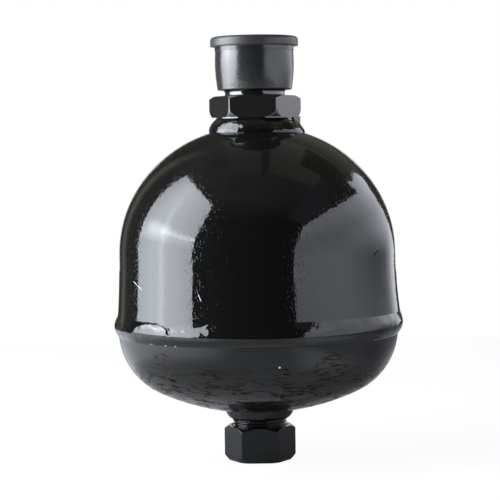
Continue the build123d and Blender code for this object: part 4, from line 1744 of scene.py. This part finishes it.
@dataclass
class GasEnd:
    """The threaded gas stub, its fillet weld and the hex cap that the object stands on, in millimetres."""

    stub_radius: float = 14.0
    stub_chamfer: float = 1.2
    thread_pitch: float = 1.5
    thread_depth: float = 0.92
    pocket_radius: float = 9.0
    pocket_depth: float = 8.0
    screw_radius: float = 4.0
    screw_length: float = 11.0
    groove_radius: float = 5.9
    groove_depth: float = 1.7
    passage_radius: float = 1.5
    drill_point: float = 59.0
    weld_width: float = 3.6
    weld_height: float = 4.5
    weld_bevel: float = 3.0
    weld_bulge: float = 0.9
    flats: float = 32.0
    turn: float = -0.8
    face_margin: float = 0.2
    foot_chamfer: float = 1.2
    foot_face: float = 15.9
    top_angle: float = 38.0
    cap_floor: float = 3.0
    mouth_chamfer: float = 1.0
    stub_segments: int = 220
    weld_segments: int = 360
    weld_overlap: float = 0.2
    side_segments: int = 44
    edge_roundness: float = 130.0
    paint: GlossPaint = GlossPaint(
        "gloss_black_paint_on_stub",
        wave=0.05,
        run_depth=0.0,
        marks=(
            # Painted highlights on the thread's crests: a painted reflection of the soft light.
            Mark((-10.9, -8.0, 22.0), (-5.8, -12.4, 21.6), 0.7, (0.9, 0.9, 0.9)),
            Mark((-10.5, -8.6, 23.2), (-7.4, -11.4, 23.0), 0.5, (0.6, 0.6, 0.6)),
        ),
    )
    weld_paint: GlossPaint = GlossPaint(
        "gloss_black_paint_on_stub_weld",
        colour=(0.008, 0.008, 0.008),
        peel_scale=520.0,
        peel_depth=0.04,
        wave=0.14,
        run_depth=0.0,
        grime_all_over=0.5,
    )
    coating: SatinPlastic = SatinPlastic(
        "satin_black_coating",
        colour=(0.004, 0.004, 0.0042),
        roughness=0.17,
        skin_scale=1400.0,
        skin_depth=0.012,
        wave=0.02,
        nib_height=0.008,
        ior=1.42,
    )

    def stub(self, vessel: Vessel, trees: ReliefTrees, material: Material) -> Object:
        """Threaded stub with its pocket for the charging screw; paint clogs its open turns.

        Args:
            vessel: The vessel that carries the piece.
            trees: The geometry node trees.
            material: The material of the piece.

        Returns:
            The new piece.
        """
        end, top = heights("gas_stub")
        pocket = end + self.pocket_depth
        screw_end = pocket + self.screw_length
        cone = (self.screw_radius - self.passage_radius) / math.tan(math.radians(self.drill_point))
        section = Section(self.pocket_radius, end).line(self.stub_radius - self.stub_chamfer, end)
        section.line(self.stub_radius, end + self.stub_chamfer)
        thread_top = vessel.crown(self.stub_radius) - self.weld_height + 1.0
        section.line(self.stub_radius, thread_top, 0.15).line(self.stub_radius, top)
        section.line(self.passage_radius, top).line(self.passage_radius, screw_end + cone)
        section.line(self.screw_radius, screw_end).line(self.screw_radius, pocket + self.groove_depth)
        section.line(self.groove_radius, pocket + self.groove_depth).line(self.groove_radius, pocket)
        section.line(self.pocket_radius, pocket)
        piece = lathe("gas_stub_body", section, even_angles(self.stub_segments))
        apply_relief(
            piece, trees.thread, material, Crest_Radius=self.stub_radius, Foot=end + self.stub_chamfer,
            Top=thread_top, Pitch=self.thread_pitch, Depth=self.thread_depth,
        )
        apply_relief(
            piece, trees.weld, material, Core_Radius=self.stub_radius - 1.2, Skin=0.4,
            Middle=heights("gas_hex_cap")[1] + 2, Half_Height=3.0, Ripples=9.0, Ripple_Depth=0.0,
            Unevenness=0.5, Patches=300.0, Stop_Depth=0.0, Seed=2.9,
        )
        return piece

    def fillet_weld(self, vessel: Vessel, trees: ReliefTrees, material: Material) -> Object:
        """Bowl-shaped fillet weld between the stub and the crown.

        Args:
            vessel: The vessel that carries the piece.
            trees: The geometry node trees.
            material: The material of the piece.

        Returns:
            The new piece.
        """
        toe_radius = self.stub_radius + self.weld_width
        mouth = vessel.crown(self.stub_radius)
        toe = (toe_radius, vessel.crown(toe_radius) + 0.1)
        low = (self.stub_radius, mouth - self.weld_height)
        root = self.stub_radius - self.weld_overlap
        section = Section(root, mouth + self.weld_bevel)
        section.line(self.stub_radius + self.weld_bevel, mouth + 1.0).line(*toe)
        section.curve(fillet_face(toe, low, self.weld_bulge), 0, 1, 22)
        section.line(root, low[1])
        piece = lathe("stub_fillet_weld", section, even_angles(self.weld_segments))
        apply_relief(
            piece, trees.weld, material, Core_Radius=self.stub_radius, Skin=1.2, Middle=mouth - 2,
            Half_Height=4.0, Ripples=40.0, Ripple_Depth=0.015, Unevenness=1.0, Patches=150.0,
            Stop_Azimuth=-128.0, Stop_Width=16.0, Stop_Depth=0.35, Seed=7.3,
        )
        return piece

    def hex_cap(self) -> Object:
        """Chamfered hexagonal cap with the bore that takes the stub.

        Returns:
            The new piece.
        """
        top = heights("gas_hex_cap")[1]
        corner = self.flats / 2 / math.cos(HALF_SIDE)
        face = self.flats / 2 + self.face_margin
        chamfer = corner - face
        bore, low = self.stub_radius, self.foot_face
        foot = self.flats / 2 - self.foot_chamfer - 0.6
        section = Section(0, 0).line(foot, 0, 3).line(low, 0, 0.12).line(corner, 1.1 * (corner - low), 0.1)
        section.line(corner, top - chamfer * math.tan(math.radians(self.top_angle)), 0.7)
        section.line(face, top, 0.12).line(bore + self.mouth_chamfer, top, 0.3)
        section.line(bore, top - self.mouth_chamfer).line(bore, self.cap_floor, 3)
        section.line(0, self.cap_floor, 4)

        def outside_only(angle: Values, radius: Values, height: Values) -> Moved:
            """Holds the outside within the hexagon and leaves the bore round."""
            held = clamp(angle, radius, height)[0]
            return np.where(radius > bore + 0.01, held, radius), height

        clamp = hexagon_clamp(self.flats, self.turn, self.edge_roundness, 0, top, self.foot_chamfer)
        angles = corner_angles(self.turn, self.side_segments)
        return lathe("foot_hex_cap", section, angles, (outside_only,), loop=False)

    def build(self, vessel: Vessel, finishes: Finishes, trees: ReliefTrees) -> None:
        """Builds and dresses the sub-assembly.

        Args:
            vessel: The vessel that the stub is welded into.
            finishes: The object's materials.
            trees: The geometry node trees.
        """
        stand_for(self.stub(vessel, trees, finishes.get(self.paint)), "gas_stub")
        weld = self.fillet_weld(vessel, trees, finishes.get(self.weld_paint))
        stand_for(weld, "gas_stub_weld")
        cap = self.hex_cap()
        dress(cap, finishes.get(self.coating))
        stand_for(cap, "gas_hex_cap")


@dataclass
class InnerParts:
    """The diaphragm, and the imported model's own inner pieces with their finishes, in millimetres."""

    clearance: float = 5.4
    rubber_wall: float = 2.2
    stud_hole: float = 5.1
    bead_inner: float = 63.9
    bead_outer: float = 67.7
    bead_low: float = 72.95
    bead_high: float = 80.45
    bead_round: float = 1.4
    fold_start: float = 118.0
    segments: int = 180
    steel: BareSteel = BareSteel()
    rubber: NitrileRubber = NitrileRubber()
    steel_nodes: tuple[str, ...] = ("clamp_ring", "closing_button", "charging_screw")
    rubber_nodes: tuple[str, ...] = ("screw_seal", "cap_seal_ring")

    def diaphragm(self, vessel: Vessel) -> Object:
        """Rubber cup along the fluid shell, with its flat centre and its rim bead.

        Args:
            vessel: The vessel that carries the piece.

        Returns:
            The new piece.
        """
        plateau = heights("diaphragm")[1]
        inset, inner = self.clearance, self.clearance + self.rubber_wall
        centre = (0, vessel.equator)
        rise_angle = math.degrees(math.asin((plateau - vessel.equator) / (vessel.rise - inset)))
        under = plateau - self.rubber_wall
        under_angle = math.degrees(math.asin((under - vessel.equator) / (vessel.rise - inner)))
        low, high, edge = self.bead_low, self.bead_high, self.bead_round
        section = Section(self.stud_hole, plateau)
        outer_radii = vessel.dome_radii(inset)
        section.line(outer_radii[0] * math.cos(math.radians(rise_angle)), plateau, 1.5)
        section.arc(centre, outer_radii, rise_angle, 0, 90)
        section.curve(lambda height: (vessel.flare(height, inset), height), vessel.equator, high + 0.1, 20)
        section.arc((self.bead_outer - edge, high - edge), (edge, edge), 70, 0, 4)
        section.arc((self.bead_outer - edge, low + edge), (edge, edge), 0, -90, 5)
        section.arc((self.bead_inner + edge, low + edge), (edge, edge), -90, -180, 5)
        section.line(self.bead_inner, high - edge)
        section.curve(lambda height: (vessel.flare(height, inner), height), high + 0.6, vessel.equator, 20)
        section.arc(centre, vessel.dome_radii(inner), 0, under_angle, 90)
        section.line(self.stud_hole, under, 1.5)
        return lathe("diaphragm_cup", section, even_angles(self.segments))

    def build(self, vessel: Vessel, finishes: Finishes) -> None:
        """Builds the diaphragm and dresses the other inner pieces.

        Args:
            vessel: The vessel around them.
            finishes: The object's materials.
        """
        cup = self.diaphragm(vessel)
        dress(cup, finishes.get(self.rubber))
        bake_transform(cup)
        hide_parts("diaphragm")
        LOG.info("%s stands for diaphragm with %d faces", cup.name, len(cup.data.polygons))
        for names, finish in ((self.steel_nodes, self.steel), (self.rubber_nodes, self.rubber)):
            for name in names:
                dress(frame["nodes"][name], finishes.get(finish))
                LOG.info("%s keeps its solid with %s", name, finish.name)


@dataclass
class Card:
    """Flat card of the studio with its corners in order, in metres."""

    name: str
    corners: tuple[Place, ...]
    seen_by_camera: bool = False

    def build(self, material: Material) -> Object:
        """Makes the card and sets whether the camera sees it.

        Args:
            material: Its material.

        Returns:
            The card.
        """
        mesh = bpy.data.meshes.new(self.name)
        mesh.from_pydata(self.corners, [], [tuple(range(len(self.corners)))])
        mesh.materials.append(material)
        card = bpy.data.objects.new(self.name, mesh)
        bpy.context.scene.collection.objects.link(card)
        card.visible_camera = self.seen_by_camera
        return card


@dataclass
class Studio:
    """Table, soft light from the left, pale panel on the right, white backdrop and the camera, in metres."""

    soft_light_x: float = -0.85
    soft_light_outline: tuple[Station, ...] = (
        (-0.63, 0.002),
        (0.345, 0.002),
        (0.345, 1.2),
        (-0.8, 1.2),
        (-0.8, 0.9),
        (-0.71, 0.48),
        (-0.65, 0.28),
    )
    soft_light_level: float = 8.6
    soft_light_tint: Colour = (0.945, 1.0, 1.075)
    tube_y: float = -0.115
    tube_height: float = 0.35
    panel_x: float = 0.8
    panel_outline: tuple[Station, ...] = (
        (-1.49, 0.002),
        (1.8, 0.002),
        (1.52, 0.1),
        (1.2, 0.26),
        (1.03, 0.4),
        (1.03, 0.53),
        (1.2, 0.66),
        (1.06, 0.77),
        (0.95, 0.8),
        (0.62, 0.74),
        (0.45, 0.77),
        (0.43, 0.61),
        (-0.05, 0.62),
        (-0.47, 0.655),
        (-0.95, 0.66),
        (-1.1, 0.58),
        (-1.22, 0.44),
        (-1.42, 0.27),
    )
    panel_level: float = 1.77
    panel_tint: Colour = (0.97, 1.0, 1.1)
    trim_front: float = -1.57
    trim_back: float = -1.485
    trim_top: float = 0.3
    trim_colour: Colour = (0.16, 0.04, 0.03)
    table_left: float = -0.85
    table_right: float = 1.3
    table_front: float = -0.9
    table_back: float = 0.6
    table_colour: Colour = (0.44, 0.44, 0.44)
    # Painted pool of light at the table's open sides, and painted shadow at its far right.
    table_painted_light: Colour = (0.95, 0.95, 0.95)
    table_painted_shadow: Colour = (0.2, 0.2, 0.2)
    table_glow: float = 1.08
    table_white: float = 0.87
    room_overhead: Colour = (0.165, 0.16, 0.145)
    room_clutter: Colour = (0.125, 0.127, 0.122)
    room_behind: Colour = (0.055, 0.052, 0.042)
    room_front: Colour = (0.022, 0.022, 0.022)
    room_upper: Colour = (0.08, 0.08, 0.08)
    room_over_right: Colour = (0.18, 0.175, 0.145)
    ceiling_lit: Colour = (0.262, 0.256, 0.234)
    ceiling_lit_left: Colour = (0.2, 0.198, 0.185)
    ceiling_dark: Colour = (0.08, 0.078, 0.066)
    cloth_overhead: Colour = (0.148, 0.14, 0.182)
    lit_patch: Patch = ((-0.25, 0.75), (-0.16, 0.92), 0.04)
    cloth_patch: Patch = ((0.75, 1.5), (-1.4, -0.2), 0.08)
    beam_patch: Patch = ((0.05, 0.122), (-0.17, 0.5), 0.004)
    hatch_patch: Patch = ((0.44, 1.34), (0.2, 0.84), 0.012)
    hatch_depth: float = 0.93
    doorway_azimuth: float = -146.0
    doorway_level: float = 0.22
    doorway_colour: Colour = (1.0, 0.98, 0.88)
    backdrop_y: float = 1.6
    backdrop_half_width: float = 0.5
    backdrop_top: float = 0.5
    camera_place: Place = (-0.0037, -0.942, 0.1576)
    camera_pitch: float = 3.002
    camera_roll: float = -0.9
    lens: float = 132.12

    def glow(self, name: str, tint: Colour, pattern: Callable[[Wiring], Any]) -> Material:
        """Material of a card that gives off light.

        Args:
            name: Name of the material.
            tint: Colour of the light.
            pattern: Builds the level of the light over the card.

        Returns:
            The material.
        """
        material = bpy.data.materials.new(name)
        material.use_nodes = True
        material.node_tree.nodes.clear()
        wiring = Wiring(material.node_tree)
        emission = wiring.node("ShaderNodeEmission", {"Color": (*tint, 1.0), "Strength": pattern(wiring)})
        wiring.node("ShaderNodeOutputMaterial", {"Surface": emission.outputs[0]})
        return material

    def soft_light_pattern(self, wiring: Wiring) -> NodeSocket:
        """Level of the soft light: cloth that dims to its ends, with the tubes' glowing cross behind it.

        Args:
            wiring: The wiring of the node tree.

        Returns:
            The level.
        """
        place = wiring.split(wiring.node("ShaderNodeTexCoord").outputs["Object"])
        past = wiring.less(place[1], self.tube_y)
        over = wiring.less(place[2], self.tube_height)
        beside, above = wiring.calc("ABSOLUTE", past), wiring.calc("ABSOLUTE", over)
        upright = wiring.times(wiring.rise(beside, 0.085, 0.0), wiring.rise(place[2], 1.1, 0.45))
        breadth = wiring.mix(wiring.rise(past, 0.0, 0.12), 0.06, 0.13)
        level = wiring.times(wiring.rise(above, breadth, 0.0), wiring.rise(past, 0.42, 0.2))
        veil = wiring.times(wiring.rise(over, -0.13, -0.09), wiring.rise(over, 0.12, -0.04))
        away = wiring.calc("SQRT", wiring.plus(wiring.times(past, past), wiring.times(over, over)))
        spot = wiring.rise(away, 0.15, 0.0)
        tubes = wiring.plus(wiring.times(upright, 2.0), wiring.times(level, 4.2))
        glow = wiring.plus(tubes, wiring.scaled(spot, 3.4, veil))
        back = wiring.mix(wiring.rise(place[1], -0.1, 0.36), 1.0, 0.55)
        front = wiring.mix(wiring.rise(place[1], -0.25, -0.72), 1.0, 0.86)
        return wiring.plus(wiring.times(back, front, self.soft_light_level), glow)

    def panel_pattern(self, wiring: Wiring) -> NodeSocket:
        """Level of the pale panel: dark in a fold near the table, paler again behind it and above it.

        Args:
            wiring: The wiring of the node tree.

        Returns:
            The level.
        """
        place = wiring.split(wiring.node("ShaderNodeTexCoord").outputs["Object"])
        before = wiring.mix(wiring.rise(place[1], -0.42, 0.36), self.panel_level, 0.2 * self.panel_level)
        behind = wiring.times(wiring.rise(place[1], 0.5, 1.15), 0.7 * self.panel_level)
        high = wiring.mix(wiring.rise(place[2], 0.33, 0.6), 0.84 * self.panel_level, 1.18 * self.panel_level)
        brighter = wiring.scaled(wiring.rise(place[1], -0.2, 0.5), 0.28, high)
        level = wiring.mix(wiring.rise(place[2], 0.01, 0.3), wiring.plus(before, behind), brighter)
        leaning = wiring.joined(0.0, wiring.plus(place[1], place[2]), wiring.times(place[2], 0.3))
        mottle = wiring.scaled(wiring.noise(leaning, 7.0, 4.0), 0.24, 0.88)
        return wiring.times(level, mottle)

    @staticmethod
    def trim_pattern(wiring: Wiring) -> NodeSocket:
        """Level of the red trim in front of the panel, broken into short lengths."""
        place = wiring.node("ShaderNodeTexCoord").outputs["Object"]
        return wiring.rise(wiring.noise(place, 9.0, 2.0), 0.46, 0.56)

    def table_material(self) -> Material:
        """Pale table that shows white to the camera and keeps the object's shadow; its colour carries a
        painted pool of light at the open sides and a painted shadow at the far right.

        Returns:
            The material.
        """
        material = bpy.data.materials.new("pale_table")
        material.use_nodes = True
        wiring = Wiring(material.node_tree)
        shader = material.node_tree.nodes["Principled BSDF"]
        place = wiring.node("ShaderNodeTexCoord").outputs["Object"]
        reach = wiring.measure("LENGTH", place)
        across = wiring.split(place)
        aside = wiring.calc("DIVIDE", wiring.calc("ABSOLUTE", across[0]), reach)
        # Painted light: paler colour where the table is open to the soft light.
        left = wiring.times(wiring.rise(across[0], 0.02, -0.1), wiring.rise(reach, 0.12, 0.2))
        near = wiring.times(wiring.rise(across[1], 0.03, -0.1), wiring.rise(reach, 0.06, 0.14))
        right = wiring.times(wiring.rise(across[0], 0.0, 0.06), wiring.rise(across[0], 0.2, 0.1))
        open_side = wiring.most(left, wiring.times(near, right))
        lit = wiring.times(wiring.rise(aside, 0.25, 0.7), open_side)
        # Painted shadow: darker colour at the far right, where the object's shadow falls.
        shaded = wiring.times(wiring.rise(across[0], 0.12, 0.24), wiring.rise(across[1], -0.08, 0.05))
        plain = wiring.tint(shaded, self.table_colour, self.table_painted_shadow)
        wiring.feed(shader.inputs["Base Color"], wiring.tint(lit, plain, self.table_painted_light))
        shader.inputs["Roughness"].default_value = 0.7
        white = wiring.node("ShaderNodeEmission", {"Strength": self.table_glow})
        to_camera = wiring.node("ShaderNodeLightPath").outputs["Is Camera Ray"]
        share = wiring.times(to_camera, self.table_white)
        mixed = wiring.node("ShaderNodeMixShader", {0: share, 1: shader.outputs[0], 2: white.outputs[0]})
        wiring.feed(material.node_tree.nodes["Material Output"].inputs["Surface"], mixed.outputs[0])
        return material

    def overhead(self, wiring: Wiring, direction: Any, ambient: Any) -> Any:
        """Lit part of the ceiling with its beam and hatch, and the hung cloth beside it.

        Args:
            wiring: The world's node tree.
            direction: The three parts of the ray's direction.
            ambient: The plain room's colour.

        Returns:
            The room's colour with what hangs overhead.
        """
        across = wiring.calc("DIVIDE", direction[0], direction[2])
        away = wiring.calc("DIVIDE", direction[1], direction[2])
        up = wiring.rise(direction[2], 0.3, 0.4)

        def patch(sides: tuple[float, float], ends: tuple[float, float], soft: float) -> Any:
            """Mask of a rectangle of the ceiling, with soft edges.

            Args:
                sides: Lowest and highest value across.
                ends: Lowest and highest value away from the camera.
                soft: Half the width of the soft edge.

            Returns:
                The mask.
            """
            mask = up
            for value, (low, high) in ((across, sides), (away, ends)):
                mask = wiring.times(mask, wiring.rise(value, low - soft, low + soft))
                mask = wiring.times(mask, wiring.rise(value, high + soft, high - soft))
            return mask

        lit = wiring.tint(wiring.rise(across, 0.05, 0.35), self.ceiling_lit_left, self.ceiling_lit)
        colour = wiring.tint(patch(*self.lit_patch), ambient, lit)
        colour = wiring.tint(patch(*self.cloth_patch), colour, self.cloth_overhead)
        beam, hatch = patch(*self.beam_patch), patch(*self.hatch_patch)
        dark = wiring.most(beam, wiring.times(hatch, self.hatch_depth))
        return wiring.tint(dark, colour, self.ceiling_dark)

    def room(self) -> None:
        """World: white to the camera; a dim room, darkest behind the camera, to everything else."""
        world = bpy.data.worlds.new("dim_studio_room")
        bpy.context.scene.world = world
        world.use_nodes = True
        world.node_tree.nodes.clear()
        wiring = Wiring(world.node_tree)
        looking = wiring.node("ShaderNodeTexCoord").outputs["Generated"]
        direction = wiring.split(looking)
        azimuth = wiring.calc("DEGREES", wiring.azimuth(direction))
        aside = wiring.calc("ABSOLUTE", azimuth)
        behind = wiring.tint(wiring.rise(aside, 70.0, 105.0), self.room_front, self.room_behind)
        from_doorway = wiring.calc("ABSOLUTE", wiring.less(azimuth, self.doorway_azimuth))
        doorway = wiring.times(wiring.rise(from_doorway, 9.0, 1.0), self.doorway_level)
        upper = wiring.times(wiring.rise(azimuth, 25.0, 60.0), wiring.rise(direction[2], 0.4, 0.6))
        shelf = wiring.times(wiring.rise(direction[2], 0.25, 0.38), wiring.rise(direction[2], 0.78, 0.62))
        over_right = wiring.times(wiring.rise(azimuth, 120.0, 140.0), shelf)
        dim = wiring.tint(over_right, wiring.tint(upper, behind, self.room_upper), self.room_over_right)
        walls = wiring.tint(doorway, dim, self.doorway_colour)
        clutter = wiring.rise(wiring.noise(looking, 4.5, 3.0), 0.4, 0.62)
        ceiling = wiring.tint(clutter, self.room_clutter, self.room_overhead)
        ambient = wiring.tint(wiring.rise(direction[2], 0.5, 0.86), walls, ceiling)
        ambient = self.overhead(wiring, direction, ambient)
        to_camera = wiring.node("ShaderNodeLightPath").outputs["Is Camera Ray"]
        colour = wiring.tint(to_camera, ambient, WHITE)
        background = wiring.node("ShaderNodeBackground", {"Color": colour, "Strength": 1.0})
        wiring.node("ShaderNodeOutputWorld", {"Surface": background.outputs[0]})

    def camera(self) -> None:
        """Camera at the photograph's viewing angle."""
        data = bpy.data.cameras.new("photo_camera")
        data.lens = self.lens
        data.sensor_width = 36.0
        data.clip_start = 0.05
        camera = bpy.data.objects.new("photo_camera", data)
        bpy.context.scene.collection.objects.link(camera)
        tilt = Matrix.Rotation(math.radians(90 - self.camera_pitch), 4, "X")
        roll = Matrix.Rotation(math.radians(self.camera_roll), 4, "Z")
        camera.matrix_world = Matrix.Translation(self.camera_place) @ tilt @ roll
        bpy.context.scene.camera = camera

    def build(self) -> None:
        """Builds the whole studio."""
        left, right, near, far = self.table_left, self.table_right, self.table_front, self.table_back
        table = ((left, near, 0.0), (right, near, 0.0), (right, far, 0.0), (left, far, 0.0))
        Card("table", table, seen_by_camera=True).build(self.table_material())
        soft_light = tuple((self.soft_light_x, y, z) for y, z in self.soft_light_outline)
        cloth = self.glow("soft_light_cloth", self.soft_light_tint, self.soft_light_pattern)
        Card("soft_light", soft_light).build(cloth)
        panel = tuple((self.panel_x, y, z) for y, z in self.panel_outline)
        Card("pale_panel", panel).build(self.glow("pale_panel_face", self.panel_tint, self.panel_pattern))
        near, far, top = self.trim_front, self.trim_back, self.trim_top
        trim = tuple((self.panel_x, y, z) for y, z in ((near, 0.01), (far, 0.01), (far, top), (near, top)))
        Card("red_trim", trim).build(self.glow("red_trim_face", self.trim_colour, self.trim_pattern))
        half, y, top = self.backdrop_half_width, self.backdrop_y, self.backdrop_top
        backdrop = ((-half, y, 0.0), (half, y, 0.0), (half, y, top), (-half, y, top))
        white = self.glow("white_backdrop", WHITE, lambda wiring: 1.0)
        Card("backdrop", backdrop, seen_by_camera=True).build(white)
        self.room()
        self.camera()
        LOG.info("studio and camera are set")


def main() -> None:
    """Builds every sub-assembly in order."""
    logging.basicConfig(level=logging.INFO, format="%(name)s: %(message)s")
    bpy.context.scene.view_settings.view_transform = "Standard"
    Studio().build()
    finishes = Finishes()
    trees = ReliefTrees()
    vessel = Vessel()
    vessel.build(finishes, trees)
    FluidPort().build(vessel, finishes, trees)
    ProtectiveCap().build(finishes)
    GasEnd().build(vessel, finishes, trees)
    InnerParts().build(vessel, finishes)


if __name__ == "__main__":
    main()
